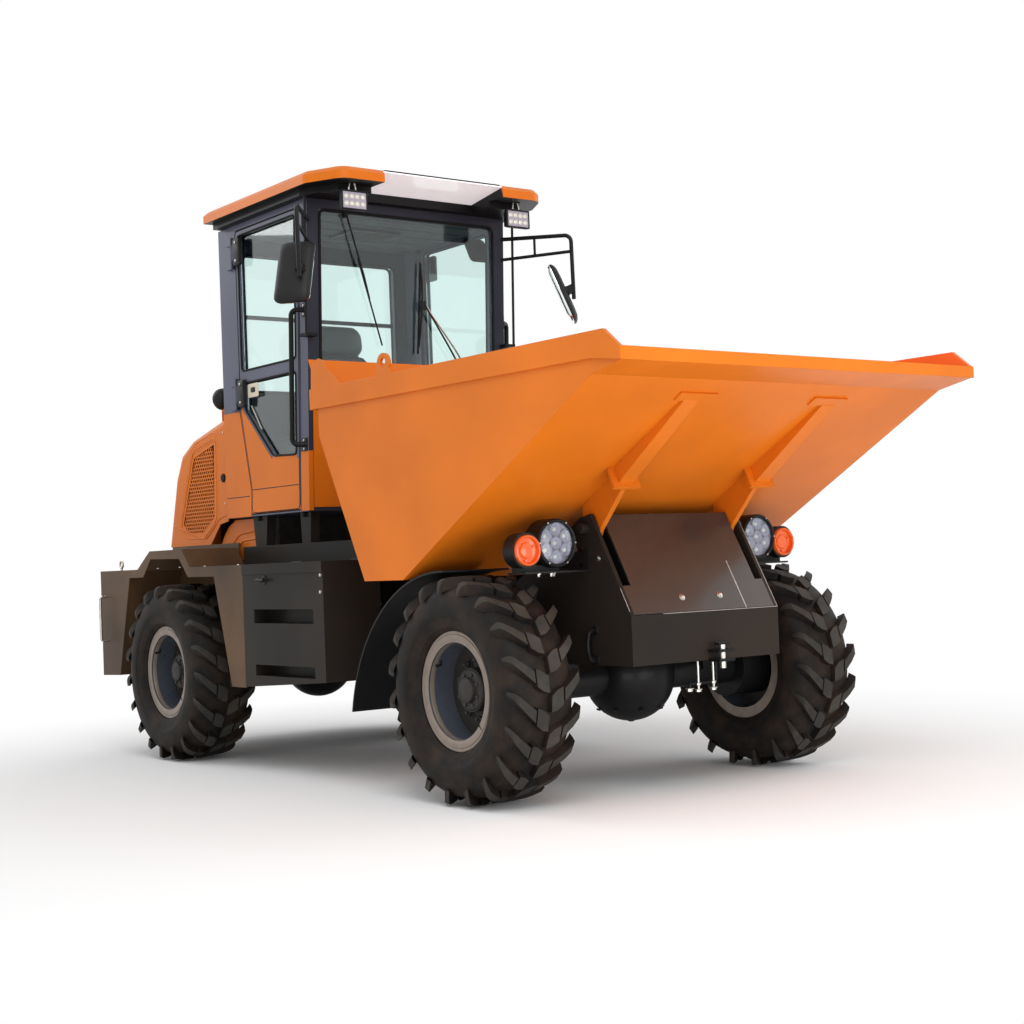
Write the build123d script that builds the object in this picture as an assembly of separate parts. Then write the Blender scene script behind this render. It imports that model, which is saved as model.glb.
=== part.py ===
from build123d import *
import math
import os

os.makedirs("parts", exist_ok=True)

# Cabbed, articulated, front-tipping site dumper.  Millimetres, +X forward, +Y left, +Z up.
# Lengths along X are measured from the front axle and every piece is moved by shift_x when it
# is saved, so that the origin lies on the ground under the middle of the machine.

# ---- driving sizes ----------------------------------------------------------------------
# running gear
wheelbase = 2764
track_half = 826            # middle of each tyre from the centre line
wheel_r = 480               # axle's height, over the lugs' flat tips
lug_count = 19              # on each side of a tyre
lug_height = 28
groove_half = 3             # middle groove between the two rows of lugs
shoulder_r = 0.86 * wheel_r
waist_r = 0.73 * wheel_r    # widest part of the side wall
tyre_width = 345
bead_r = 229                # bead seat of an 18 inch rim
flange_r = 252
rim_width = 256             # over the flanges
flange_thick = 14
barrel_wall = 24            # flange ring in front of the well
dish_offset = 12            # wheel disc inboard of the rim's middle
disc_thick = 12
hub_r = 92
hub_length = 66
stub_r = 55
axle_tube_r = 78
diff_r = 205
drum_r = 140
drum_inner_y = 585
axle_pad_half = 95

# articulation
pivot_x = -1380
pivot_pin_r = 35
pivot_block_half = 70
neck_half = 150             # rear frame's neck
fork_half = 110
fork_thick = 30
fork_z = (460, 860)         # underside of the lower plate, top of the upper plate
steer_ram_z = 620
steer_anchor = (-1830, 250)
steer_eye = (-1230, 300)

# front frame and nose
nose_x = 525                # front face
nose_half = 427.5
nose_z0 = 559
nose_z1 = 769               # top of the upright face
nose_plate = 20
slope_top = (284, 1200)     # upper end of the sloping cover
cover_thick = 8
slot_y = (362, 407.5)
slot_z = 893
frame_rear_x = -760
beam_half = 200

# skip
skip_half = 995
sheet = 6
skip_floor_z = 950
skip_floor_x = (-621, -310)
skip_front = (1012, 1692)
skip_rear = (-974, 1628)
rim_z = (1755, 1850)
rim_thick = 11              # side band, outside the tub
rim_back = 58               # box section behind the rear plate
lip_x = 1187
lip_low = 1727
lip_height = 50
lip_thick = 6
spill_height = 145          # leaning plate on the rear edge
lug_x = -392
lug_r = 48
lug_bore_r = 22
tip_pivot = (258, 1140)
arm_y = (372, 398)          # each of the twin hinge arms' plates lies in a slot
arm_pin_r = 22
tip_anchor = (-250, 690)
tip_eye = (60, 1110)
ram_tip_r = 48
ram_tip_rod_r = 28

# rear frame
chassis_z = (600, 820)
chassis_half = 330
chassis_wall = 60
rear_x = -3690
side_y = 930                # outer face of the body sides
panel = 8
deck_z = 1050
box_x = (-1902, -1100)
box_inner_y = 612
box_bottom = 452
box_wall = 5
lid_drop = 52
lid_hinge_y = 664
lid_gap = 1

# cab
cab_half = 627
cab_floor_z = 1312
cab_top_z = 2915
cab_rear_x = -2625
cab_front_low = -1722       # front plane at floor level
cab_front_high = -1642      # front plane at the roof
cab_wall = 50
door_rear_x = -2432
door_gap = 6
door_thick = 32
post_side = 78              # side width of the front posts
glass = 5
roof_half = 722
roof_x = (-2612, -1292)
roof_liner = 33             # dark liner under the roof's band
roof_thick = 64
roof_bevel = 22
roof_corner = 205
roof_round = 90
liner_inset = (25, 130, 45)  # behind, in front, at the sides
brim_half = 372             # clear panel in the middle of the brim
brim_x = -1585
door_head = 30              # cab top down to the door
door_waist_z = 1912         # rear edge turns forward below this
door_knee = (-2328, 1451)
door_foot_x = -2338

# hood
hood_half = 600
hood_sheet = 5
hood_roll = 62              # rounded long edges
hood_pivot = (-3440, 1150)
hood_low = 1176
hood_top = [(-2672, 1896), (-3118, 1794), (-3261, 1721), (-3347, 1576), (-3465, 1176)]
hood_flare = [(-2893, 1176), (-2771, 1286), (-2672, 1300)]
grille_outline = [(-2807, 1763), (-3084, 1708), (-3262, 1289), (-3192, 1230), (-2978, 1223), (-2820, 1317)]
grille_middle = (-3020, 1490)
grille_pitch = 42
grille_hole_r = 17
grille_margin = 30

# rear fittings
handle_x = -3610
handle_z = (640, 900)
handle_out = 42
eye_x = -3476
rear_lamp = (-2745, 545, 1998)
rear_lamp_r = 62
tail_lamp_out = 12

seat_gap = 0.3              # between parts that bear on each other
run_gap = 5                 # between parts that move past each other

# ---- helpers ----------------------------------------------------------------------------
lip_front_x = lip_x + lip_thick
rim_out = skip_half + rim_thick
guard_top = rim_z[1] + spill_height
roof_z = (cab_top_z + roof_liner, cab_top_z + roof_liner + roof_thick)
door_top_z = cab_top_z - door_head
hood_front_x = hood_top[0][0]
shift_x = -(rear_x - tail_lamp_out + lip_front_x) / 2


def block(x0, x1, y0, y1, z0, z1):
    """Box between two opposite corners."""
    return Pos((x0 + x1) / 2, (y0 + y1) / 2, (z0 + z1) / 2) * Box(x1 - x0, y1 - y0, z1 - z0)


def side_plate(outline, y0, y1):
    """Prism along Y whose outline is given as (x, z) corners."""
    wire = Polyline(*[(x, y0, z) for x, z in outline], close=True)
    return extrude(make_face(wire), amount=y1 - y0, dir=(0, 1, 0))


def flat_plate(outline, z0, z1):
    """Prism along Z whose outline is given as (x, y) corners."""
    wire = Polyline(*[(x, y, z0) for x, y in outline], close=True)
    return extrude(make_face(wire), amount=z1 - z0, dir=(0, 0, 1))


def rod(start, end, radius):
    """Round bar from one point to another."""
    start, end = Vector(*start), Vector(*end)
    plane = Plane(origin=start, z_dir=end - start)
    return extrude(plane * Circle(radius), amount=(end - start).length)


def bent_tube(points, bends, radius):
    """Round bar along straight runs joined by arcs."""
    path = FilletPolyline(*points, radius=bends)
    start = Plane(origin=path @ 0, z_dir=path % 0)
    return sweep(start * Circle(radius), path=path)


def turned(profile, x, z):
    """Solid of revolution about a cross axis at (x, z); profile is (y, r) corners."""
    wire = Polyline(*[(x, y, z + r) for y, r in profile], close=True)
    return revolve(make_face(wire), axis=Axis((x, 0, z), (0, 1, 0)))


def right(shape):
    """The same shape on the machine's right side."""
    return mirror(shape, about=Plane.XZ)


def pair(shape):
    """A left-hand shape and its right-hand copy."""
    return [shape, right(shape)]


def save(name, *shapes):
    """Write the solids of one node."""
    solids = [s.moved(Location((shift_x, 0, 0))) for shape in shapes for s in shape.solids()]
    export_step(solids[0] if len(solids) == 1 else Compound(children=solids), f"parts/{name}.step")


def along(a, b, x):
    """Height at x on the line through two (x, z) points."""
    return a[1] + (b[1] - a[1]) * (x - a[0]) / (b[0] - a[0])


# ---- wheels -----------------------------------------------------------------------------
def facets(*corners):
    """A flat face through four corners, or two triangles where they don't lie in one plane."""
    a, b, c, d = (Vector(*p) for p in corners)
    flat = abs((b - a).cross(c - a).normalized().dot(d - a)) < 1e-6
    rings = [corners] if flat else [corners[:3], (corners[0], *corners[2:])]
    return [make_face(Polyline(*ring, close=True)).face() for ring in rings]


def tyre(x):
    """Left tyre of flat facets: on each side a row of raised lugs leads to the middle."""
    half = tyre_width / 2
    bead_y = rim_width / 2 - flange_thick - seat_gap
    pitch = math.tau / lug_count
    even = pitch / 4
    tip_r = wheel_r / math.cos(even)
    floor_r = wheel_r - lug_height
    bore_r = (bead_r + seat_gap) / math.cos(even)
    # stations of a lug: y at its top and foot, lead and half width as turns, r at its top and foot
    lug = [
        (groove_half, groove_half, 0, even, tip_r, floor_r),
        (0.5 * half, 0.5 * half, -0.095, 0.058, tip_r - 2, floor_r),
        (half - 12, half - 1, -0.24, 0.044, wheel_r - 14, shoulder_r),
    ]
    lead_out = lug[-1][2]
    # rings of the side wall from the lug's foot to the bore: y, half width, r
    wall = [(half - 1, 0.044, shoulder_r), (half, 0.062, waist_r), (bead_y, even, flange_r + 8),
            (bead_y, even, bore_r)]

    def spot(side, y, r, turn):
        return (x + r * math.sin(turn), track_half + side * y, wheel_r + r * math.cos(turn))

    def band(side, ring_a, ring_b):
        """Facets between two rings, each given as y, r and its two turns."""
        (ya, ra, a0, a1), (yb, rb, b0, b1) = ring_a, ring_b
        return facets(spot(side, ya, ra, a0), spot(side, ya, ra, a1),
                      spot(side, yb, rb, b1), spot(side, yb, rb, b0))

    faces = []
    for k in range(2 * lug_count):
        side = 1 if k % 2 else -1
        here = pitch * k / 2
        for (ya, fa, la, wa, ta, ra), (yb, fb, lb, wb, tb, rb) in zip(lug, lug[1:]):
            a0, a1 = here + la - wa, here + la + wa
            b0, b1 = here + lb - wb, here + lb + wb
            faces += band(side, (ya, ta, a0, a1), (yb, tb, b0, b1))
            faces += band(side, (fa, ra, a1, a0 + pitch), (fb, rb, b1, b0 + pitch))
            for a, b in ((a0, b0), (a1, b1)):
                faces += facets(spot(side, fa, ra, a), spot(side, ya, ta, a), spot(side, yb, tb, b),
                                spot(side, fb, rb, b))
        for y, foot_y, lead, wide, top_r, foot_r in (lug[0], lug[-1]):
            turns = (here + lead - wide, here + lead + wide)
            faces += band(side, (y, top_r, *turns), (foot_y, foot_r, *turns))
        for (ya, wa, ra), (yb, wb, rb) in zip(wall, wall[1:]):
            a0, a1 = here + lead_out - wa, here + lead_out + wa
            b0, b1 = here + lead_out - wb, here + lead_out + wb
            faces += band(side, (ya, ra, a0, a1), (yb, rb, b0, b1))
            faces += band(side, (ya, ra, a1, a0 + pitch), (yb, rb, b1, b0 + pitch))
        for y, r, lead in ((groove_half, floor_r, 0), (bead_y, bore_r, lead_out)):
            a, b = here + lead - even, here + lead + even
            faces += facets(spot(1, y, r, a), spot(1, y, r, b), spot(-1, y, r, b), spot(-1, y, r, a))
    return Solid(Shell(faces))


def rim(x):
    """Left rim: flanged barrel, a disc set deep in it and the hub."""
    c = track_half
    half = rim_width / 2
    barrel_in = bead_r - barrel_wall
    disc_y = c - dish_offset
    profile = [
        (c - half, barrel_in), (c - half, flange_r), (c - half + flange_thick, flange_r),
        (c - half + flange_thick, bead_r), (c + half - flange_thick, bead_r),
        (c + half - flange_thick, flange_r), (c + half, flange_r), (c + half, barrel_in),
        (disc_y + disc_thick, barrel_in), (disc_y + disc_thick, hub_r),
        (disc_y + hub_length, hub_r), (disc_y + hub_length, 0), (disc_y + disc_thick, 0),
        (disc_y + disc_thick, stub_r + seat_gap), (disc_y, stub_r + seat_gap), (disc_y, barrel_in),
    ]
    return turned(profile, x, wheel_r)


def axle(x, pad_y, pad_top):
    """Beam axle with its differential bowl, pads under the frame, end drums and stubs."""
    disc_y = track_half - dish_offset
    body = rod((x, -drum_inner_y, wheel_r), (x, drum_inner_y, wheel_r), axle_tube_r)
    body += Pos(x, 0, wheel_r) * Sphere(diff_r)
    drum_out = disc_y - 25
    for s in (1, -1):
        body += rod((x, s * drum_inner_y, wheel_r), (x, s * drum_out, wheel_r), drum_r)
        body += rod((x, s * drum_out, wheel_r), (x, s * (disc_y + disc_thick - 2), wheel_r), stub_r)
        y0, y1 = sorted((s * (pad_y - 48), s * (pad_y + 48)))
        body += block(x - axle_pad_half, x + axle_pad_half, y0, y1, wheel_r, pad_top)
    return body


front_tyre = tyre(0)
front_rim = rim(0)
rear_tyre = tyre(-wheelbase)
rear_rim = rim(-wheelbase)
for side, turn in (("left", lambda s: s), ("right", right)):
    save(f"tyre_front_{side}", turn(front_tyre))
    save(f"rim_front_{side}", turn(front_rim))
    save(f"tyre_rear_{side}", turn(rear_tyre))
    save(f"rim_rear_{side}", turn(rear_rim))

# ---- front frame ------------------------------------------------------------------------
skip_underside = ((skip_floor_x[1], skip_floor_z), skip_front)
plate_drop = 62              # frame's top edge below the skip's front plate
nose_side = [
    (nose_x, nose_z0), (nose_x, nose_z1), slope_top,
    (slope_top[0] - 60, along(*skip_underside, slope_top[0] - 60) - plate_drop),
    (skip_floor_x[1], skip_floor_z - plate_drop), (frame_rear_x, skip_floor_z - plate_drop),
    (frame_rear_x, nose_z0),
]
chassis = side_plate(nose_side, nose_half - nose_plate, nose_half)
chassis += side_plate(nose_side, -nose_half, -nose_half + nose_plate)
inner = nose_half - nose_plate
chassis += block(nose_x - 20, nose_x, -inner, inner, nose_z0, nose_z1)
chassis += block(frame_rear_x, frame_rear_x + 20, -inner, inner, nose_z0, skip_floor_z - plate_drop)
# neck back to the fork at the articulation pin
neck_front = frame_rear_x
neck_rear = pivot_x + 200
chassis += block(neck_rear, neck_front, -beam_half, beam_half, *fork_z)
for z0 in (fork_z[0], fork_z[1] - fork_thick):
    plate = block(pivot_x, neck_rear, -fork_half, fork_half, z0, z0 + fork_thick)
    plate += Pos(pivot_x, 0, z0 + fork_thick / 2) * Cylinder(fork_half, fork_thick)
    plate -= Pos(pivot_x, 0, z0 + fork_thick / 2) * Cylinder(pivot_pin_r + seat_gap, fork_thick + 2)
    chassis += plate
# ears for the steering rams' rods
ear_gap = 30
ear_thick = 14
for s in (1, -1):
    for z0 in (steer_ram_z + ear_gap, steer_ram_z - ear_gap - ear_thick):
        ear = flat_plate([
            (steer_eye[0] - 32, s * (steer_eye[1] - 30)), (steer_eye[0] - 32, s * (steer_eye[1] + 32)),
            (steer_eye[0] + 40, s * (steer_eye[1] + 32)), (neck_rear + 190, s * beam_half),
            (neck_rear, s * beam_half),
        ], z0, z0 + ear_thick)
        chassis += ear
# cross beam and trunnions for the tipping ram
chassis += block(tip_anchor[0] - 92, tip_anchor[0] - 62, -inner, inner, 590, 780)
ram_ear_y = (62, 82)
for s in (1, -1):
    y0, y1 = sorted((s * ram_ear_y[0], s * ram_ear_y[1]))
    chassis += block(tip_anchor[0] - 62, tip_anchor[0] + 45, y0, y1, tip_anchor[1] - 45, tip_anchor[1] + 45)
chassis += rod((tip_anchor[0], -ram_ear_y[0], tip_anchor[1]),
               (tip_anchor[0], ram_ear_y[0], tip_anchor[1]), 20)
# hinge bosses of the skip, outside the arms
for s in (1, -1):
    y0, y1 = sorted((s * (slot_y[0] - 40), s * (slot_y[0] - 14)))
    cheek = side_plate([
        (tip_pivot[0] - 60, nose_z0 + 200), (tip_pivot[0] + 60, nose_z0 + 200),
        (tip_pivot[0] + 34, tip_pivot[1] - 30), (tip_pivot[0] - 34, tip_pivot[1] - 30),
    ], y0, y1)
    cheek += rod((tip_pivot[0], y0, tip_pivot[1]), (tip_pivot[0], y1, tip_pivot[1]), 34)
    chassis += cheek
chassis += block(tip_pivot[0] - 60, tip_pivot[0] + 60, -inner, inner, nose_z0 + 180, nose_z0 + 200)
# hinge pins stand out of the nose plates
for s in (1, -1):
    chassis += rod((tip_pivot[0], s * (slot_y[0] - 30), tip_pivot[1]),
                   (tip_pivot[0], s * (nose_half + 42), tip_pivot[1]), arm_pin_r)
save("front_chassis", chassis)

# sloping cover over the nose, with a slot for each hinge arm
slope_angle = math.degrees(math.atan2(slope_top[1] - nose_z1, nose_x - slope_top[0]))
cover_half = nose_half - nose_plate
cover_dx = cover_thick / math.sin(math.radians(slope_angle))
cover_low = (nose_x - 2 - cover_dx, nose_z1 + 3)
cover_up = (slope_top[0] - cover_dx + 2, slope_top[1] - 4)
cover = side_plate([
    cover_low, (cover_low[0] + cover_dx, cover_low[1]),
    (cover_up[0] + cover_dx, cover_up[1]), cover_up,
], -cover_half, cover_half)
for s in (1, -1):
    y0, y1 = sorted((s * slot_y[0], s * (cover_half + 1)))
    cover -= block(cover_up[0] - 10, nose_x, y0, y1, slot_z, slope_top[1] + 10)
save("nose_cover", cover)

save("front_axle", axle(0, nose_half - nose_plate / 2, nose_z0))

# ---- front mudguards --------------------------------------------------------------------
guard_centre = (-30, 220)
guard_r = 765
guard_t = 8
guard_y = (640, 988)
guard_tip_z = 360
guard_end_x = -20
guard_clear_r = 985          # its tip swings past the step box
ring = Pos(guard_centre[0], (guard_y[0] + guard_y[1]) / 2, guard_centre[1]) * Rot(90, 0, 0) * (
    Cylinder(guard_r, guard_y[1] - guard_y[0]) - Cylinder(guard_r - guard_t, guard_y[1] - guard_y[0]))
guard = ring & block(guard_centre[0] - guard_r, guard_end_x, *guard_y, guard_tip_z, guard_centre[1] + guard_r)
guard -= Pos(pivot_x, 0, 500) * Cylinder(guard_clear_r, 900)
stay = block(-520, -445, nose_half, guard_y[0] + 28, 700, 712)
stay += block(-520, -508, nose_half, guard_y[0] + 28, 700, 806)
save("front_mudguards", *pair(guard + stay))

# ---- headlamps --------------------------------------------------------------------------
lamp = (260, 594, 1082)
lamp_r = 102
lens_r = 88
lamp_depth = 92
amber = (260, 752, 1055)
amber_r = 65
bracket_z = 965
can = rod((lamp[0] - lamp_depth, *lamp[1:]), lamp, lamp_r)
can += rod((amber[0] - 70, *amber[1:]), amber, amber_r + 9)
can -= rod((lamp[0] - 26, *lamp[1:]), (lamp[0] + 1, *lamp[1:]), lens_r + seat_gap)
can -= rod((amber[0] - 22, *amber[1:]), (amber[0] + 1, *amber[1:]), amber_r + seat_gap)
can += block(lamp[0] - 80, lamp[0] - 40, lamp[1] - 40, amber[1] + 20, bracket_z, lamp[2] - 90)
can += block(lamp[0] - 110, lamp[0] + 10, nose_half, amber[1] + 20, bracket_z - 8, bracket_z)
can += block(lamp[0] - 110, lamp[0] + 10, nose_half, nose_half + 8, bracket_z - 8, bracket_z + 90)
save("headlamp_housings", *pair(can))
save("headlamp_lenses", *pair(rod((lamp[0] - 25, *lamp[1:]), (lamp[0] - 4, *lamp[1:]), lens_r)))
save("indicator_lenses", *pair(rod((amber[0] - 21, *amber[1:]), (amber[0] + 10, *amber[1:]), amber_r)))

# ---- tow pin and rings ------------------------------------------------------------------
tow = (nose_x + 42, 40)
hitch = block(nose_x, nose_x + 72, tow[1] - 45, tow[1] + 45, nose_z0 + 34, nose_z0 + 46)
hitch += block(nose_x, nose_x + 72, tow[1] - 45, tow[1] + 45, nose_z0 - 6, nose_z0 + 6)
hitch -= Pos(tow[0], tow[1], nose_z0 + 20) * Cylinder(13 + seat_gap, 120)
pin = Pos(tow[0], tow[1], nose_z0 + 15) * Cylinder(13, 100)
pin += Pos(tow[0], tow[1], nose_z0 + 70) * Box(30, 64, 10)
save("tow_hitch", hitch, pin)

# ---- skip -------------------------------------------------------------------------------
skip_outline = [
    (skip_rear[0], rim_z[1]), skip_rear, (skip_floor_x[0], skip_floor_z), (skip_floor_x[1], skip_floor_z),
    skip_front, (lip_x, lip_low), (lip_x, lip_low + lip_height), (lip_x - 90, rim_z[1]),
]
outer = side_plate(skip_outline, -skip_half, skip_half)
room_face = make_face(Polyline(*[(x, 0, z) for x, z in skip_outline], close=True))
room_face = offset(room_face, -sheet, kind=Kind.INTERSECTION)
room = extrude(room_face, amount=skip_half - sheet, dir=(0, 1, 0), both=True)
mouth = side_plate([
    (skip_rear[0] + sheet, rim_z[1] - 60), (lip_x - 40, rim_z[1] - 60), (lip_x - 96, rim_z[1] + 40),
    (skip_rear[0] + sheet, rim_z[1] + 40),
], -(skip_half - sheet), skip_half - sheet)
front_mouth = side_plate([
    (skip_front[0], lip_low + lip_height), (lip_x + 10, lip_low + lip_height), (lip_x + 10, rim_z[1] + 20),
    (skip_front[0], rim_z[1] + 20),
], -(skip_half - sheet), skip_half - sheet)
tub = outer - room - mouth - front_mouth
save("skip_tub", tub)

rim_back_x = skip_rear[0] - rim_back
band = side_plate([
    (rim_back_x, rim_z[0]), (rim_back_x, rim_z[1]), (lip_x - 90, rim_z[1]), (lip_x, lip_low + lip_height),
    (lip_x, lip_low), (skip_front[0] + 11, rim_z[0] - 6),
], skip_half, rim_out)
back = block(rim_back_x, skip_rear[0], -skip_half, skip_half, rim_z[0], rim_z[1])
back -= block(rim_back_x + 6, skip_rear[0] + 1, -skip_half - 1, skip_half + 1, rim_z[0] - 1, rim_z[1] - 6)
lip = block(lip_x, lip_front_x, -rim_out, rim_out, lip_low, lip_low + lip_height)
rim_band = band + right(band) + back + lip

lean = spill_height
spill = side_plate([
    (skip_rear[0] - 6, rim_z[1]), (skip_rear[0], rim_z[1]), (skip_rear[0] - lean / 2, guard_top),
    (skip_rear[0] - lean / 2 - 6, guard_top),
], -skip_half, skip_half)
gusset = side_plate([
    (rim_back_x + 16, rim_z[1]), (rim_back_x + 266, rim_z[1]), (rim_back_x + 209, rim_z[1] + 0.3 * lean),
    (rim_back_x + 164, rim_z[1] + 0.5 * lean), (rim_back_x + 127, rim_z[1] + 0.85 * lean),
    (rim_back_x + 87, rim_z[1] + 0.94 * lean), (rim_back_x + 24, rim_z[1] + 0.77 * lean),
], skip_half, rim_out)
rim_band = rim_band + spill + gusset + right(gusset)

lug_y = (rim_out - 15, rim_out)
lug = block(lug_x - 62, lug_x + 62, *lug_y, rim_z[1], rim_z[1] + 24)
lug += rod((lug_x, lug_y[0], rim_z[1] + 46), (lug_x, lug_y[1], rim_z[1] + 46), lug_r)
lug -= rod((lug_x, lug_y[0] - 1, rim_z[1] + 52), (lug_x, lug_y[1] + 1, rim_z[1] + 52), lug_bore_r)
lug -= block(lug_x - 80, lug_x + 80, lug_y[0] - 1, lug_y[1] + 1, rim_z[1] - 60, rim_z[1])
save("skip_rim", rim_band + lug + right(lug))


def underside(x):
    """Height of the skip front plate's underside."""
    return along(*skip_underside, x)


arm_top = (905, underside(905) - 12)
arm_knee = (471, 1306)
arm = side_plate([
    (arm_top[0], underside(arm_top[0])), (200, underside(200)), (tip_pivot[0] - 50, tip_pivot[1]),
    (tip_pivot[0], tip_pivot[1] - 46), (tip_pivot[0] + 50, tip_pivot[1] - 10), arm_knee, arm_top,
], *arm_y)
arm += rod((tip_pivot[0], arm_y[0], tip_pivot[1]), (tip_pivot[0], arm_y[1], tip_pivot[1]), 50)
arm -= rod((tip_pivot[0], arm_y[0] - 1, tip_pivot[1]), (tip_pivot[0], arm_y[1] + 1, tip_pivot[1]),
           arm_pin_r + seat_gap)
ram_lug = side_plate([
    (tip_eye[0] - 80, underside(tip_eye[0] - 80)), (tip_eye[0] + 80, underside(tip_eye[0] + 80)),
    (tip_eye[0] + 26, tip_eye[1] - 34), (tip_eye[0] - 26, tip_eye[1] - 34),
], 40, 54)
rib_y = (355, 437)
rib_foot_x = 440
rib = side_plate([
    (arm_top[0], underside(arm_top[0])), (rib_foot_x, underside(rib_foot_x)),
    (rib_foot_x, underside(rib_foot_x) - 42), arm_knee, arm_top,
], *rib_y)
stop_x = (455, 467)
stopper = side_plate([
    (stop_x[0], underside(stop_x[0])), (stop_x[1], underside(stop_x[1])),
    (arm_knee[0] + 29, arm_knee[1] - 5), (arm_knee[0] + 15, arm_knee[1] - 14),
], rib_y[0] - 32, rib_y[1] + 32)
pad_x = (892, 938)
pad = side_plate([
    (pad_x[1], underside(pad_x[1])), (pad_x[0], underside(pad_x[0])),
    (pad_x[0] + 5, underside(pad_x[0] + 5) - 9), (pad_x[1] + 5, underside(pad_x[1] + 5) - 9),
], rib_y[0] - 75, rib_y[1] + 43)
save("skip_arms", *pair(arm + rib + stopper + pad), *pair(ram_lug))

# ---- rams -------------------------------------------------------------------------------
def make_ram(anchor, eye, across, barrel_r, rod_r, eye_r, half, pin_r, barrel_end, rod_start):
    """A ram from its anchor eye to its rod's eye; across is the pins' direction."""
    a, e, w = Vector(*anchor), Vector(*eye), Vector(*across)
    u = (e - a).normalized()
    barrel = rod(tuple(a - w * half), tuple(a + w * half), eye_r)
    barrel += rod(tuple(a + u * (eye_r * 0.7)), tuple(a + u * barrel_end), barrel_r)
    barrel -= rod(tuple(a - w * (half + 1)), tuple(a + w * (half + 1)), pin_r + seat_gap)
    barrel -= rod(tuple(a + u * (eye_r + 40)), tuple(a + u * (barrel_end + 1)), rod_r + seat_gap)
    piston = rod(tuple(a + u * rod_start), tuple(e - u * (eye_r * 0.7)), rod_r)
    piston += rod(tuple(e - w * half), tuple(e + w * half), eye_r)
    return barrel, piston


tip_length = math.dist(tip_anchor, tip_eye)
tip_barrel, tip_rod = make_ram((tip_anchor[0], 0, tip_anchor[1]), (tip_eye[0], 0, tip_eye[1]), (0, 1, 0),
                               ram_tip_r, ram_tip_rod_r, 40, 34, 20, tip_length - 80, 100)
save("tip_ram_barrel", tip_barrel)
save("tip_ram_rod", tip_rod)
steer_length = math.dist(steer_anchor, steer_eye)
steer_reach = 160            # how far the steering rods move each way
steer_barrel, steer_rod = make_ram(
    (*steer_anchor, steer_ram_z), (*steer_eye, steer_ram_z), (0, 0, 1), 27, 16, 30, 26, 15,
    steer_length - steer_reach - 30, 70 + steer_reach)
save("steer_ram_barrel_left", steer_barrel)
save("steer_ram_rod_left", steer_rod)
save("steer_ram_barrel_right", right(steer_barrel))
save("steer_ram_rod_right", right(steer_rod))

# ---- rear frame -------------------------------------------------------------------------
neck_x = -1900
pivot_z = (fork_z[0] + fork_thick + run_gap, fork_z[1] - fork_thick - run_gap)
rear = block(neck_x, pivot_x - 90, -neck_half, neck_half, 500, chassis_z[1])
rear += block(pivot_x - 100, pivot_x, -pivot_block_half, pivot_block_half, *pivot_z)
rear += Pos(pivot_x, 0, sum(pivot_z) / 2) * Cylinder(pivot_block_half, pivot_z[1] - pivot_z[0])
rear += Pos(pivot_x, 0, (fork_z[0] + fork_z[1]) / 2) * Cylinder(pivot_pin_r, fork_z[1] - fork_z[0] + 40)
rear += block(neck_x - 60, neck_x, -chassis_half, chassis_half, 500, chassis_z[1])
for s in (1, -1):
    y0, y1 = sorted((s * (chassis_half - chassis_wall), s * chassis_half))
    rear += block(-3460, neck_x - 60, y0, y1, *chassis_z)
    for z0 in (steer_ram_z + ear_gap, steer_ram_z - ear_gap - ear_thick):
        y0, y1 = sorted((s * neck_half, s * (steer_anchor[1] + 34)))
        rear += block(neck_x, steer_anchor[0] + 34, y0, y1, z0, z0 + ear_thick)
    rear += rod((*(steer_anchor[0], s * steer_anchor[1]), steer_ram_z - ear_gap),
                (*(steer_anchor[0], s * steer_anchor[1]), steer_ram_z + ear_gap), 15)
rear += block(-3460, -3400, -chassis_half, chassis_half, *chassis_z)
save("rear_chassis", rear)
save("rear_axle", axle(-wheelbase, chassis_half - chassis_wall / 2, chassis_z[0]))

# ---- body round the rear wheels ---------------------------------------------------------
top_line = [(rear_x, deck_z), (-3169, deck_z), (-3002, deck_z + 100), (-2598, deck_z + 100),
            (-2498, deck_z), (box_x[0], deck_z)]
arch_line = [(-2054, 424), (-2222, 995), (-2526, 997), (-2627, 1098), (-2992, 1105), (-3097, 1005),
             (-3281, 1004), (-3449, 442), (rear_x, 435)]
inner_y = 600
cheek = side_plate(top_line + [(box_x[0], 424)] + arch_line, side_y - panel, side_y)
deck = side_plate(top_line + [(x, z - panel) for x, z in reversed(top_line)], inner_y, side_y - panel)
flap_rear = side_plate([(-3281, deck_z - panel), (-3281 - panel, deck_z - panel),
                        (-3449 - panel, 442), (-3449, 442)],
                       inner_y, side_y - panel)
flap_front = side_plate([(-2222, deck_z - panel), (-2222 + panel, deck_z - panel),
                         (-2054 + panel, 424), (-2054, 424)],
                        inner_y, side_y - panel)
inner_panel = block(-3395, -2560, inner_y - panel, inner_y, 700, hood_low - seat_gap)
inner_panel += block(-3480, -3395, inner_y - panel, inner_y, 700, deck_z)
inner_low = block(-2560, box_x[0], inner_y - panel, inner_y, 700, deck_z)
bodywork = cheek + deck + flap_rear + flap_front + inner_panel + inner_low
bodywork += right(bodywork)
bodywork += block(rear_x, rear_x + panel, -side_y, side_y, 435, deck_z)
bodywork += block(rear_x, -3400, -inner_y, inner_y, deck_z - panel, deck_z)
bodywork += block(-3408, -3400, -inner_y, inner_y, 700, deck_z)
bodywork -= block(-3500, -3300, -chassis_half - 1, chassis_half + 1, 500, chassis_z[1])
for s in (1, -1):
    y0, y1 = sorted((s * 380, s * 440))
    bodywork += block(hood_pivot[0] - 14, hood_pivot[0] + 14, y0, y1, deck_z, hood_pivot[1])
    y0, y1 = sorted((s * 360, s * 460))
    bodywork += rod((hood_pivot[0], y0, hood_pivot[1]), (hood_pivot[0], y1, hood_pivot[1]), 9)
save("rear_bodywork", bodywork)

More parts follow.
